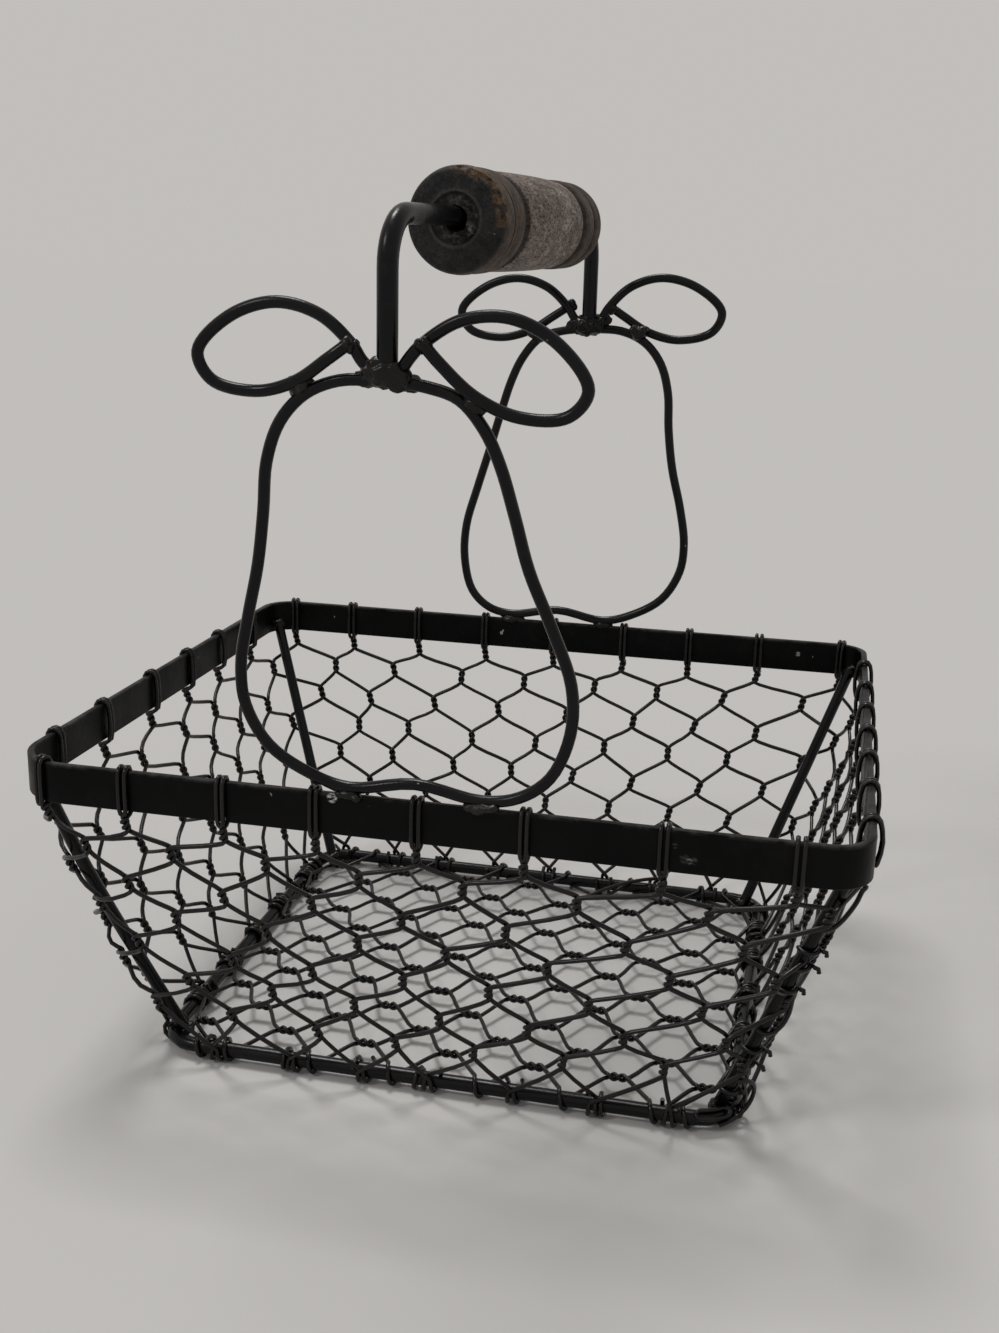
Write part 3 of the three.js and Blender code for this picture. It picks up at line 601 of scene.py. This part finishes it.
def wind_on_base(place, way, turns, stub, begin, pitch, loose=0.0):
    """A wire's end: round the base rod, moving along it a little more than a wire at each turn."""
    girth = foot_reach + 0.03 * mm + loose
    whole = side_length(base_width, base_depth, base_corner, math.floor(place))
    spots = []
    count = int(turns * 10)
    for step in range(count + 2):
        share = min(step, count) / 10
        spot, _, out = on_base(place + way * (0.55 + share * pitch) * wire / whole)
        angle = math.radians(begin) - share * 2 * math.pi - (0.5 if step > count else 0.0)
        reach = girth if step <= count else girth + stub
        height = max(base_height + reach * math.sin(angle), wire * 0.55)
        spots.append(spot + out * (reach * math.cos(angle)) + lift * height)
    return spots


print("hook of", len(over_band(0.5, mm, 0.0)), "spots")

# %% [markdown]
# ## Side netting
# The side netting is one long strip that goes round all four sides. From each hook the two ends of its wire
# set out, one slanting to the left and one to the right. A seeded random number moves each twist a little,
# the same for both of its wires, because hand-stretched netting is never regular.

# %% Place every twist of the side netting
chance = random.Random(7)
twists = {}
for row in range(twist_rows + 1):
    for column in range(len(columns)):
        place = column_place(column + 0.5 * (row % 2))
        place += lean_at(place, row) + 0.004 * chance.uniform(-1, 1) * min(row, 2)
        deep = second_row + (row - 1) * row_step if row else first_row
        deep += chance.uniform(-0.8, 0.8) * mm * min(row, 1)
        middle, down, across = on_slope(place, deep)
        out = down.cross(across)
        tilted = (down + across * chance.uniform(-0.16, 0.16)).normalized()
        twists[row, column] = (middle + out * chance.uniform(-0.4, 0.4) * mm, tilted, across, place)


def twist_at(row, column):
    return twists[row, math.floor(column) % len(columns)]


print(len(twists), "twists in the side netting")

# %% Weave the side netting
first_twist = 4.4 * mm
lengths = []
for column in range(len(columns)):
    on_right = 0.98 < columns[column] < 1.98
    slack = chance.uniform(0.6, 1.3) * mm if on_right else chance.uniform(0.15, 0.7) * mm
    halves = []
    for way in (-1, 1):
        spots = []
        for row in range(twist_rows):
            middle, down, across, place = twist_at(row, column + way * row / 2)
            swell = swell_at(place, leg_swell, corner_leg_swell)
            out = down.cross(across) * (chance.uniform(0.4, 1.4) * swell)
            turns = twist_turns(middle, down, across, -way, twist_length if row else first_twist)
            if spots:
                spots += leg_spots(spots[-1], turns[0], down, chance.uniform(0.1, 0.8) * mm, out)
            spots += turns
        middle, down, across, place = twist_at(twist_rows, column + way * twist_rows / 2)
        windings = chance.choice((0.75, 0.8, 0.95, 1.4))
        stub = chance.uniform(0.1, 0.9) * mm
        begin = chance.uniform(15.0, 70.0)
        pitch = chance.uniform(1.1, 2.2)
        end = wind_on_base(place, way, windings, stub, begin, pitch, chance.uniform(0.0, 0.5) * mm)
        spots += leg_spots(spots[-1], end[0], down, 0.5 * mm, down.cross(across) * (0.4 * mm)) + end
        halves.append(spots)
    hook = over_band(columns[column], chance.uniform(0.7, 0.95) * mm, slack)
    lengths.append(halves[0][::-1] + hook + halves[1])
bend_wire(lengths, wire, sides=6)
side_nodes = [side + "_netting" for side in ("front", "right", "back", "left")]
finish_piece("side_netting", wire_paint, side_nodes, angle=80.0)
print(len(lengths), "wires in the side netting")

# %% [markdown]
# ## Base netting
# The floor of the basket is a flat sheet of the same netting, laid with its twists across the basket. Its
# wires run from the left rod to the right rod. A wire that meets the front or the back rod goes round it in
# a loop and turns back into the sheet.

# %% Place the twists of the base netting
sheet_pitch = 23.8 * mm
sheet_step = 12.2 * mm
sheet_height = 4.4 * mm
sheet_rows = 13
sheet_jog = ((-0.9, 0.9), (-1.0, 1.0), (-0.4, 0.5))
sheet_chance = random.Random(11)
sheet_spots = {}
for row in range(-1, sheet_rows + 1):
    for half in range(-6, 7):
        jog = [sheet_chance.uniform(*limits) for limits in sheet_jog]
        spot = Vector(((row - 6) * sheet_step, half * sheet_pitch / 2, sheet_height))
        sheet_spots[row, half] = spot + Vector(jog) * mm


def loop_on_rod(x, half):
    """A loop round the front or back rod: over it, down outside, under it and back up inside."""
    girth = foot_reach + 0.05 * mm
    way = 1 if half > 0 else -1
    spots = []
    for step in range(13):
        share = step / 12
        angle = math.radians(140 - share * 300)
        spots.append(Vector((x + (share - 0.5) * 3.0 * mm, way * (base_depth / 2 + girth * math.cos(angle)),
                             base_height + girth * math.sin(angle))))
    return spots


def end_on_side_rod(y, way, end):
    """A wire's end on the left (end -1) or right (end 1) rod, coming over it from inside."""
    place = (2.5 - end) + y * end / side_length(base_width, base_depth, base_corner, 1)
    return wind_on_base(place, way * end, sheet_chance.choice((0.9, 1.2, 1.5)), 0.8 * mm, 140.0, 1.3)


print(len(sheet_spots), "spots in the sheet")

# %% Weave the base netting
right = Vector((1.0, 0.0, 0.0))
inwards = Vector((0.0, 1.0, 0.0))
sheet_end = 70.0 * mm
sheet_twist = 5.8 * mm
sheet_wires = []
for start, way in [(half, way) for half in (-4, -2, 0, 2, 4) for way in (1, -1)] + [(-6, 1), (6, -1)]:
    half = start
    if abs(start) == 6:
        spots = loop_on_rod(-sheet_end, start)
    else:
        spots = end_on_side_rod(sheet_spots[-1, half].y, -way, -1)[::-1]
    for row in range(sheet_rows):
        half += way
        if abs(half) == 6:
            spots += loop_on_rod(sheet_spots[row, half].x, half)
            way = -way
            continue
        turns = twist_turns(sheet_spots[row, half], right, inwards, -way, sheet_twist)
        spots += leg_spots(spots[-1], turns[0], right, sheet_chance.uniform(0.3, 1.2) * mm) + turns
    half += way
    if abs(half) == 6:
        spots += loop_on_rod(sheet_end, half)
    else:
        spots += end_on_side_rod(sheet_spots[sheet_rows, half].y, way, 1)
    sheet_wires.append(spots)
loose_end = [(21, 55.5, 4.8), (29, 63.5, 6.3), (37, 69.2, 7.2), (44.5, 73.2, 7.3), (47, 74.8, 6.3)]
sheet_wires.append(smooth_bends([Vector(spot) * mm for spot in loose_end], 4))
bend_wire(sheet_wires, wire, sides=6)
finish_piece("base_netting_sheet", wire_paint, ["base_netting"], angle=80.0)
print(len(sheet_wires), "wires in the base netting")

# %% [markdown]
# ## The seam of the netting
# The strip's two ends meet at the front right post. Its cut wires are bent round the outside of the post
# there, and their tips stick out to the right. Each tie is a short arc round the post that ends in a small
# curl. Two are longer: they leave the post and bow upwards, the topmost one as far as the band. At the foot
# spare wire is laid round the base rod in a loop and, just before the corner, in a small closed link.

# %% Tie the seam
seam_foot, seam_head = [Vector(end) * mm for end in post_ends["front_right_post"]]
climb = (seam_head - seam_foot).normalized()
facing = Vector((1.0, -0.3, 0.0))
facing = (facing - climb * facing.dot(climb)).normalized()
beside = climb.cross(facing)


def round_post(height, angle, off):
    """A spot beside the post: its height, the angle round the post and the gap to it, in mm and degrees."""
    spot = seam_foot + climb * ((height * mm - seam_foot.z) / climb.z)
    swing = facing * math.cos(math.radians(angle)) + beside * math.sin(math.radians(angle))
    return spot + swing * (post_rod / 2 + wire / 2 + off * mm)


high_bow = [(68.5, -110, 0.1), (69, -70, 0.1), (69.8, -25, 0.3), (71.5, 12, 1.2), (73.5, 35, 2.6),
            (75.8, 50, 4.4), (77.8, 60, 6.0), (78.2, 62, 7.0), (78.2, 64, 7.8)]
low_bow = [(34, -110, 0.1), (34.2, -60, 0.1), (34.8, -15, 0.5), (37, 12, 1.5), (40.5, 22, 1.7), (44, 28, 1.0),
           (46.5, 30, 0.3)]
foot_loop = [(17, -60, 0.1), (17, -10, 0.7), (15.8, 20, 2.6), (13, 30, 4.4), (10, 28, 5.0), (7.2, 18, 4.4),
             (5.4, 2, 3.3), (5.0, -18, 2.9), (4.6, -42, 3.1), (3.6, -60, 3.4)]
ties = [smooth_bends([round_post(*bend) for bend in bow], 4) for bow in (high_bow, low_bow, foot_loop)]
closed_link = []
for step in range(25):
    turned = step / 24 * 2 * math.pi
    spot, _, out = on_base(0.98 + 0.026 * math.cos(turned))
    on_rod = math.radians(52 + 26 * max(-1.0, min(1.0, 1.6 * math.sin(turned))))
    girth = base_rod / 2 + wire * (0.5 if step < 22 else 0.9)
    height = base_height + girth * math.sin(on_rod)
    closed_link.append(spot + out * girth * math.cos(on_rod) + lift * height)
ties.append(closed_link)
tie_shapes = [(60.8, -150, 2.4), (55.6, -100, 2.8), (48.0, -140, 2.2), (26.6, -150, 2.8), (21.5, -110, 3.2),
              (11.5, -160, 1.6)]
for height, begin, tip in tie_shapes:
    tie = [round_post(height + step * 0.12, begin + step / 11 * (25 - begin), 0.1) for step in range(12)]
    tie += [round_post(height + rise, 0, far * tip) for far, rise in ((0.45, 1.7), (0.8, 1.9), (1.0, 1.0))]
    ties.append(tie)
bend_wire(ties, wire, sides=6)
finish_piece("seam_ties", wire_paint, angle=80.0)

# %% [markdown]
# ## Pears
# Each pear is one length of heavier wire bent to a pear's outline, a little lopsided as hand work is, with
# both ends brought together at the stem. Its bottom dips in between two bulges that stand on the rim. The
# outline is a row of points in shares of the pear's width and height, so front and back can share it, apart
# from a belly that is a little fuller and a neck that is a little slimmer.

# %% Bend the pears
pear_wire = 3.0 * mm
pear_belly = 83.0 * mm
pear_y = 95.5 * mm
stem_offset = 7.5 * mm
pear_foot = 1.8 * mm
pear_bulge = 17.0 * mm
pear_dip = 4.4 * mm
beside_stem = 0.6 * mm
pear_heights = {"front": 102.0 * mm, "back": 106.0 * mm}
fuller_belly = {"front": 1.7 * mm, "back": -1.3 * mm}
slimmer_neck = {"front": 0.0, "back": 1.1 * mm}
right_side = [(0.02, 0.99), (0.115, 0.965), (0.187, 0.9), (0.235, 0.82), (0.28, 0.705), (0.325, 0.58),
              (0.385, 0.445), (0.438, 0.31), (0.442, 0.19), (0.397, 0.076), (0.313, 0.018)]
left_side = [(-0.331, 0.028), (-0.458, 0.092), (-0.53, 0.192), (-0.542, 0.292), (-0.518, 0.411),
             (-0.482, 0.55), (-0.462, 0.68), (-0.449, 0.8), (-0.407, 0.895), (-0.331, 0.962), (-0.229, 0.996)]


def set_on_rim(place, x, y, z):
    """From a pear's own face, seen from outside, to the basket: the back one faces the other way."""
    turned = 1 if place == "front" else -1
    return Vector((turned * x, turned * (y - pear_y), rim_high.z + z))


def half_outline(place, half, change, low, high):
    """Half of a pear's outline, with a change that rises and falls between two shares of its height."""
    tall = pear_heights[place] - pear_foot
    spots = []
    for across, up in half:
        more = change[place] * math.sin(math.pi * (up - low) / (high - low)) if low < up < high else 0.0
        spots.append((across * pear_belly + more, pear_foot + up * tall))
    return spots


for place, height in pear_heights.items():
    flat = [(beside_stem - stem_offset, height)]
    flat += half_outline(place, right_side, fuller_belly, 0.0, 0.55)
    flat += [(pear_bulge, pear_foot), (0.0, pear_dip), (-pear_bulge, pear_foot)]
    flat += half_outline(place, left_side, slimmer_neck, 0.4, 1.0)
    flat += [(-beside_stem - stem_offset, height)]
    bend_wire([smooth_bends([set_on_rim(place, x, 0.0, z) for x, z in flat], 5)], pear_wire, sides=14)
    finish_piece(place + "_pear_outline", rod_paint, [place + "_pear_wire"], angle=60.0)

# %% [markdown]
# ## Leaves
# A leaf is a loop of the same wire. It sets out from the stem, goes over the top to the tip and comes back
# underneath to its own beginning. One cut end lies over the wire as a short nub, the others are welded to
# it. The loop is raised until its lowest point is that of its solid, and a little more where that shows.

# %% Bend the leaves
leaf_length = 41.5 * mm
leaf_height = 21.0 * mm
leaf_start = 4.0 * mm
leaf_over = 3.3 * mm
leaf_outline = [(0, 0, 0), (-0.062, 0.176, 0), (-0.25, 0.49, 0), (-0.515, 0.614, 0), (-0.8, 0.438, 0),
                (-1, 0.033, 0), (-0.92, -0.276, 0), (-0.652, -0.386, 0), (-0.398, -0.257, 1 / 3),
                (-0.185, 0.019, 2 / 3)]
leaf_set = {"front_left": (2.0, 0.0, 0.975, 0.7, (-0.085, 0.165, 0.5)),
            "front_right": (1.2, 8.5, 1.01, 0.0, (-0.085, 0.165, 0.5)),
            "back_left": (0.4, -4.0, 1.0, 0.0, (-0.105, 0.14, 0.5)),
            "back_right": (1.2, -1.0, 0.975, 0.7, (-0.02, 0.245, 1))}
leaf_crossings = {}
for name, (further, droop, grown, higher, cut_end) in leaf_set.items():
    place, hand = name.split("_")
    side = 1 if hand == "left" else -1
    swing = Matrix.Rotation(math.radians(droop), 2)
    bends = []
    for far, up, over in leaf_outline + [cut_end]:
        flat = swing @ Vector((far * leaf_length, up * leaf_height)) * grown
        x = side * (flat.x - leaf_start - further * mm) - stem_offset
        bends.append(set_on_rim(place, x, -over * leaf_over, flat.y + pear_heights[place]))
    lowest = min(spot.z for spot in smooth_bends(bends))
    raised = lift * (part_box(name + "_leaf")[0].z + pear_wire / 2 - lowest + higher * mm)
    bends = [spot + raised for spot in bends]
    leaf_crossings[name] = (bends[1] + bends[-1]) / 2
    at_stem = set_on_rim(place, -side * 2.6 * mm - stem_offset, 0.0, pear_heights[place] + 1.2 * mm)
    bend_wire([smooth_bends([at_stem] + bends, 8)], pear_wire, sides=14)
    finish_piece(name + "_leaf_loop", rod_paint, [name + "_leaf"], angle=60.0)

# %% [markdown]
# ## Handle rod
# The handle is one rod. It rises from the front pear as its stem, bends over, crosses the basket a little
# askew and goes down to the back pear. The two bends are quarter circles with a few points each, and the
# straight stretches need none between.

# %% Bend the handle
handle_rod = 5.0 * mm
handle_bend = 12.0 * mm
front_top = Vector((-stem_offset, -pear_y, 234.3 * mm))
back_top = Vector((stem_offset, pear_y, 236.0 * mm))
back_end = 203.1 * mm
over_basket = (back_top - front_top).normalized()
rod_spots = [Vector((front_top.x, front_top.y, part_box("handle_rod")[0].z))]
for top, inward, steps in ((front_top, over_basket, range(11)), (back_top, -over_basket, range(10, -1, -1))):
    for step in steps:
        angle = step / 10 * math.pi / 2
        rod_spots.append(top + inward * handle_bend * (1 - math.cos(angle))
                         - lift * handle_bend * (1 - math.sin(angle)))
rod_spots.append(Vector((back_top.x, back_top.y, back_end)))
bend_wire([rod_spots], handle_rod, sides=20)
finish_piece("handle_bent_rod", rod_paint, ["handle_rod"], angle=60.0)

# %% [markdown]
# ## Weld lumps
# The joints are rough lumps of weld under the paint. A single ball would look like a bead, so a few balls of
# different sizes are run together with a voxel Remesh and stretched to their size where the solid is. Two
# cloudy Displace modifiers, one coarse and one fine, make the skin ragged. The posts have lumps too, where
# they meet the band and the base, and so have the leaves where their ends cross.

# %% A helper for weld lumps
def clouds(name, scale, depth):
    made = bpy.data.textures.new(name, 'CLOUDS')
    made.noise_scale = scale
    made.noise_depth = depth
    return made


def join_pieces(pieces):
    """Joins pieces into the last of them."""
    for piece in pieces:
        piece.select_set(True)
    bpy.context.view_layer.objects.active = pieces[-1]
    bpy.ops.object.join()


def run_together(seed):
    """Four balls run together into one lump."""
    shake = random.Random(seed)
    balls = []
    for share, girth in ((-0.32, 0.55), (-0.08, 0.8), (0.12, 0.7), (0.34, 0.5)):
        offset = (share, shake.uniform(-0.14, 0.14), shake.uniform(-0.16, 0.16))
        bpy.ops.mesh.primitive_ico_sphere_add(subdivisions=3, radius=girth / 2, location=offset)
        balls.append(bpy.context.object)
    join_pieces(balls)
    apply_place()
    modify(balls[-1], 'REMESH', voxel_size=0.045)
    apply_modifiers(balls[-1])
    return balls[-1]


def weld_lump(name, middle, size, seed, nodes=(), ragged=0.2):
    lump = run_together(seed)
    bpy.ops.object.origin_set(type='ORIGIN_GEOMETRY', center='BOUNDS')
    lump.dimensions = size
    lump.location = middle
    apply_place()
    for texture, strength in ((lump_clouds, ragged), (spatter, ragged * 0.15)):
        modify(lump, 'DISPLACE', texture=texture, texture_coords='GLOBAL', strength=strength * min(size))
    finish_piece(name, weld_paint, nodes, angle=80.0)


lump_clouds = clouds("lump_clouds", 2.2 * mm, 1)
spatter = clouds("spatter", 0.7 * mm, 2)
print("clouds for lumps", lump_clouds.name, spatter.name)

# %% Weld the joints
stretch = {"stem": (1.0, 1.1, 1.0), "left_foot": (0.62, 1.0, 0.85), "right_foot": (0.8, 1.15, 0.95),
           "leaf": (1.3, 1.2, 1.2)}
weld_nodes = [name for name in sorted(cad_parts) if name.endswith("_weld")]
for number, solid in enumerate(weld_nodes):
    low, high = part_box(solid)
    kind = next(part for part in stretch if part in solid)
    size = [(high[axis] - low[axis]) * stretch[kind][axis] for axis in range(3)]
    weld_lump(solid + "_lump", (low + high) / 2, size, number, [solid], 0.28 if kind == "stem" else 0.2)
for number, (name, ends) in enumerate(post_ends.items()):
    for part, spot, size, raised in (("head", ends[1], (4.8, 4.4, 4.0), -0.6),
                                     ("foot", ends[0], (5.0, 5.0, 3.6), 1.3)):
        middle = (Vector(spot) + lift * raised) * mm
        weld_lump(name + "_" + part + "_lump", middle, Vector(size) * mm, 40 + number)
for number, (name, crossing) in enumerate(leaf_crossings.items()):
    weld_lump(name + "_crossing_lump", crossing, Vector((4.6, 4.6, 4.3)) * mm, 60 + number, (), 0.12)
print(len(weld_nodes), "weld lumps on solids")

# %% [markdown]
# ## Turned wood
# The grip is old turned wood. Its barrel has worn to a grey brown with short dark pores that follow the
# grain, its beads are darker, and the front face still carries black paint, chipped through to orange brown
# wood along its upper right edge. The finish needs to know how far along the grip a spot is and how far from
# its middle, so a Mapping node turns the Object coordinates until one of them runs along the bore.

# %% Turn the coordinates to the grip
grip_axis = Vector((0.078289, 0.996879, 0.010143)).normalized()
axis_height = 234.65 * mm
grip_shift = 3.0 * mm
bore_offset = 0.4 * mm
grip_middle = lift * axis_height + grip_axis * grip_shift - lift * bore_offset
grip_length = 106.0 * mm
front_end = -grip_length / 2
to_grip = grip_axis.to_track_quat('Z', 'Y')
bore_up = to_grip.inverted() @ (lift * bore_offset)

turned_wood, where = begin_finish("worn_turned_wood")
centred = node(where, "VectorMath", 0, {0: where, 1: grip_middle}, operation='SUBTRACT')
on_grip = node(centred, "Mapping", 0, {"Vector": centred, "Rotation": to_grip.inverted().to_euler()})
leftwards, upwards, along = [axis_of(on_grip, axis) for axis in "XYZ"]
stretched = scaled(on_grip, (1.0, 1.0, 0.5))
crosswise = scaled(on_grip, (1.0, 1.0, 0.0))
from_middle = distance_to(crosswise, (0.0, 0.0, 0.0))
from_bore = distance_to(crosswise, (bore_up.x, bore_up.y, 0.0))
print("grip axis", [round(x, 4) for x in grip_axis])

# %% Mix the wood
def ramp(low, high):
    """From 0 to 1 between two distances from the front face, in mm."""
    return span(along, low * mm + front_end, high * mm + front_end)


def between(low, high, soft):
    """1 between two distances from the front face, with soft edges."""
    return both(ramp(low - soft, low + soft), ramp(high + soft, high - soft))


grain_lines = noise(stretched, 420.0, 6.0, 0.65)
pores = span(noise(stretched, 1500.0, 3.0, 0.65), 0.51, 0.59)
slow_tone = noise(on_grip, 70.0, 4.0)
tone = blend_colour(span(grain_lines, 0.36, 0.64), (0.100, 0.072, 0.058), (0.320, 0.262, 0.224))
tone = blend_colour(both(span(slow_tone, 0.4, 0.68), 0.45), tone, (0.090, 0.060, 0.050))
tone = blend_colour(both(pores, 0.86), tone, (0.016, 0.012, 0.010))
mottled = span(noise(on_grip, 260.0, 5.0, 0.7), 0.36, 0.68)
bead_tone = blend_colour(mottled, (0.020, 0.0125, 0.0085), (0.086, 0.056, 0.038))
beads = both(ramp(19.5, 18.0), ramp(84.5, 85.5), 'MAXIMUM')
tone = blend_colour(both(beads, 0.94), tone, bead_tone)
# The grooves are painted near black: painted shade in the hollows between the beads and the barrel.
for low, high in ((9.3, 10.4), (19.3, 25.0), (81.6, 85.4), (94.4, 95.6)):
    tone = blend_colour(both(between(low, high, 0.4), 0.85), tone, (0.012, 0.009, 0.008))
# Pale lines along the lips of the grooves are a painted highlight where the edges catch the light, partly
# worn wood too, made patchy by a noise.
rubbed = both(span(noise(on_grip, 200.0, 5.0, 0.7), 0.35, 0.6), 0.8)
for lip in (10.9, 18.2, 26.0, 80.8, 93.8):
    tone = blend_colour(both(between(lip - 0.25, lip + 0.25, 0.25), rubbed), tone, (0.20, 0.16, 0.125))
print("beads, grooves and lips mixed")

# %% Paint the ends of the wood
front_face = ramp(2.2, 1.2)
back_face = ramp(104.5, 105.4)
worn = span(noise(on_grip, 230.0, 6.0, 0.7), 0.60, 0.66)
black = both(both(front_face, back_face, 'MAXIMUM'), opposite(worn))
black_tone = blend_colour(mottled, (0.013, 0.013, 0.0138), (0.036, 0.034, 0.034))
smudge = span(noise(on_grip, 110.0, 5.0, 0.7), 0.52, 0.7)
black_tone = blend_colour(both(smudge, 0.5), black_tone, (0.055, 0.048, 0.044))
torn = both(span(from_bore, 6.3 * mm, 5.5 * mm), both(mottled, 0.35, 'ADD'))
fibres = span(noise(on_grip, 480.0, 5.0, 0.7), 0.47, 0.62)
torn_tone = blend_colour(fibres, (0.014, 0.013, 0.013), (0.095, 0.092, 0.090))
black_tone = blend_colour(both(torn, front_face), black_tone, torn_tone)
# A pale ring just outside the groove round the bore is a painted highlight on the groove's outer edge, made
# patchy by the smudge noise.
on_ridge = both(span(from_bore, 6.2 * mm, 6.8 * mm), span(from_bore, 7.6 * mm, 7.0 * mm))
ridge_highlight_share = both(span(smudge, 0.0, 1.0, 0.45, 0.9), front_face)
black_tone = blend_colour(both(on_ridge, ridge_highlight_share), black_tone, (0.085, 0.082, 0.080))
tone = blend_colour(black, tone, black_tone)
print("ends of the grip painted")

# %% Chip the paint and finish the wood
at_edge = both(span(from_middle, 10.6 * mm, 12.2 * mm), ramp(5.0, 2.5))
upper_right = both(span(leftwards, 2.0 * mm, -3.0 * mm), span(upwards, -3.0 * mm, 1.0 * mm))
flaking = span(noise(on_grip, 230.0, 5.0, 0.65), 0.46, 0.51)
chipped = both(both(at_edge, upper_right), flaking)
chip_tone = blend_colour(mottled, (0.055, 0.032, 0.019), (0.225, 0.148, 0.090))
tone = blend_colour(chipped, tone, chip_tone)
# Pale grey on the largest burr beside the bore is a painted highlight, broken up by a fine noise.
burr_highlight_spot = (bore_up.x - 3.9 * mm, bore_up.y - 2.6 * mm, front_end - 0.6 * mm)
highlight_breakup = span(noise(on_grip, 620.0, 4.0, 0.6), 0.44, 0.56)
burr_painted_highlight = both(span(distance_to(on_grip, burr_highlight_spot), 2.2 * mm, 1.2 * mm), highlight_breakup)
tone = blend_colour(burr_painted_highlight, tone, (0.17, 0.165, 0.16))
specks = span(noise(on_grip, 520.0, 2.0, 0.4), 0.785, 0.80)
tone = blend_colour(specks, tone, (0.30, 0.28, 0.26))
pitted = roughen(opposite(pores), 0.6, 0.0008)
uneven = roughen(mottled, 0.25, 0.0008, pitted)
rough = span(slow_tone, 0.3, 0.7, 0.45, 0.66)
set_surface(turned_wood, tone, 0.12, rough, roughen(grain_lines, 0.25, 0.0006, uneven))
print("wood finish", turned_wood.name)

# %% [markdown]
# ## The grip
# The grip was turned on a lathe, so it is modelled ring by ring, as a turner cuts it: a circle is drawn
# along and resized at each step. That gives the end beads, their grooves and the long barrel. The bore is
# drilled off centre with a Boolean, and a ring is cut round it in the front face. Chips along the front edge
# and the ragged lip of the bore are bitten out with small lumps, and three burrs are left standing.

# %% Turn the grip
front_bead = [(0.0, 11.9), (0.4, 12.5), (1.2, 13.0), (2.6, 13.35), (5.0, 13.5), (7.6, 13.4), (8.9, 13.15)]
front_ring = [(9.7, 12.5), (10.1, 12.45), (10.7, 13.05), (11.6, 13.3), (14.5, 13.4), (17.4, 13.35),
              (18.3, 13.2), (18.7, 12.6), (19.6, 11.8), (21.6, 11.6), (23.4, 11.9), (24.6, 12.6)]
barrel = [(25.6, 12.95), (27.5, 13.05), (40.0, 13.2), (53.0, 13.25), (66.0, 13.2), (79.0, 13.0), (80.8, 12.9)]
back_ring = [(81.6, 12.4), (82.6, 11.9), (84.0, 11.8), (85.0, 12.3), (85.8, 12.9), (88.0, 13.15),
             (92.5, 13.2), (94.0, 13.05), (94.7, 12.4), (95.2, 12.35)]
back_bead = [(95.9, 12.9), (98.0, 13.1), (102.0, 13.1), (104.2, 12.8), (105.4, 12.2), (106.0, 11.4)]
profile = front_bead + front_ring + barrel + back_ring + back_bead
bpy.ops.mesh.primitive_circle_add(vertices=80, radius=profile[0][1] * mm, fill_type='NGON',
                                  location=(0.0, 0.0, front_end))
grip = bpy.context.object
apply_place()
bpy.ops.object.mode_set(mode='EDIT')
bpy.ops.mesh.select_all(action='SELECT')
for (last, girth), (far, next_girth) in zip(profile, profile[1:]):
    bpy.ops.mesh.extrude_region_move(TRANSFORM_OT_translate={"value": (0.0, 0.0, (far - last) * mm)})
    grow = next_girth / girth
    bpy.ops.transform.resize(value=(grow, grow, 1.0), center_override=(0.0, 0.0, far * mm + front_end))
bpy.ops.mesh.select_all(action='SELECT')
bpy.ops.mesh.normals_make_consistent(inside=False)
bpy.ops.object.mode_set(mode='OBJECT')
print("turned", len(profile), "rings")

# %% Drill and chip the grip
def cut_away(piece, cutter):
    modify(piece, 'BOOLEAN', object=cutter, operation='DIFFERENCE', solver='EXACT')
    bpy.context.view_layer.objects.active = piece
    apply_modifiers(piece)
    bpy.data.objects.remove(cutter)


def chip_lump(x, y, z, reach, flat):
    """A rough little lump at the front face, to bite a chip out of the wood or to stand as a burr."""
    spot = (x, y, front_end + z * mm)
    bpy.ops.mesh.primitive_ico_sphere_add(subdivisions=2, radius=reach, location=spot)
    lump = bpy.context.object
    lump.scale = (1.0, 1.0, flat)
    apply_place()
    modify(lump, 'DISPLACE', texture=spatter, texture_coords='GLOBAL', strength=reach * 0.9)
    apply_modifiers(lump)
    return lump


bore_radius = 3.3 * mm
ring_radius = 5.5 * mm
ring_round = 1.2 * mm
bpy.ops.mesh.primitive_cylinder_add(vertices=40, radius=bore_radius, depth=grip_length * 1.2,
                                    location=(bore_up.x, bore_up.y, 0.0))
cut_away(grip, bpy.context.object)
bpy.ops.mesh.primitive_torus_add(location=(bore_up.x, bore_up.y, front_end - 0.4 * mm), major_segments=48,
                                 minor_segments=12, major_radius=ring_radius, minor_radius=ring_round)
cut_away(grip, bpy.context.object)
bites = random.Random(5)
for turn in (3, 14, 25, 33, 44, 56, 69, 82, 118, 160, 196, 214, 233, 251, 268, 287, 309, 338):
    big = turn < 90
    reach = bites.uniform(1.5, 2.6) if big else bites.uniform(0.5, 0.9)
    ring = (14.0 if big else 13.0) * mm
    angle = math.radians(turn + bites.uniform(-3, 3))
    cut_away(grip, chip_lump(-ring * math.cos(angle), ring * math.sin(angle), 0.3, reach * mm, 0.8))
for x, y, reach in ((-2.3, -2.0, 1.0), (0.6, -3.0, 0.9), (2.4, -2.0, 0.8)):
    cut_away(grip, chip_lump(bore_up.x + x * mm, bore_up.y + y * mm, 0.3, reach * mm, 1.2))
burrs = [chip_lump(bore_up.x + x * mm, bore_up.y + y * mm, -0.1, reach * mm, 1.0)
         for x, y, reach in ((-4.1, -2.8, 1.35), (-3.1, 3.6, 0.8), (1.3, -4.5, 0.8))]
join_pieces(burrs + [grip])
grip.location = grip_middle
grip.rotation_euler = to_grip.to_euler()
finish_piece("grip_turned_wood", turned_wood, ["wooden_grip"], body="grip", angle=35.0)
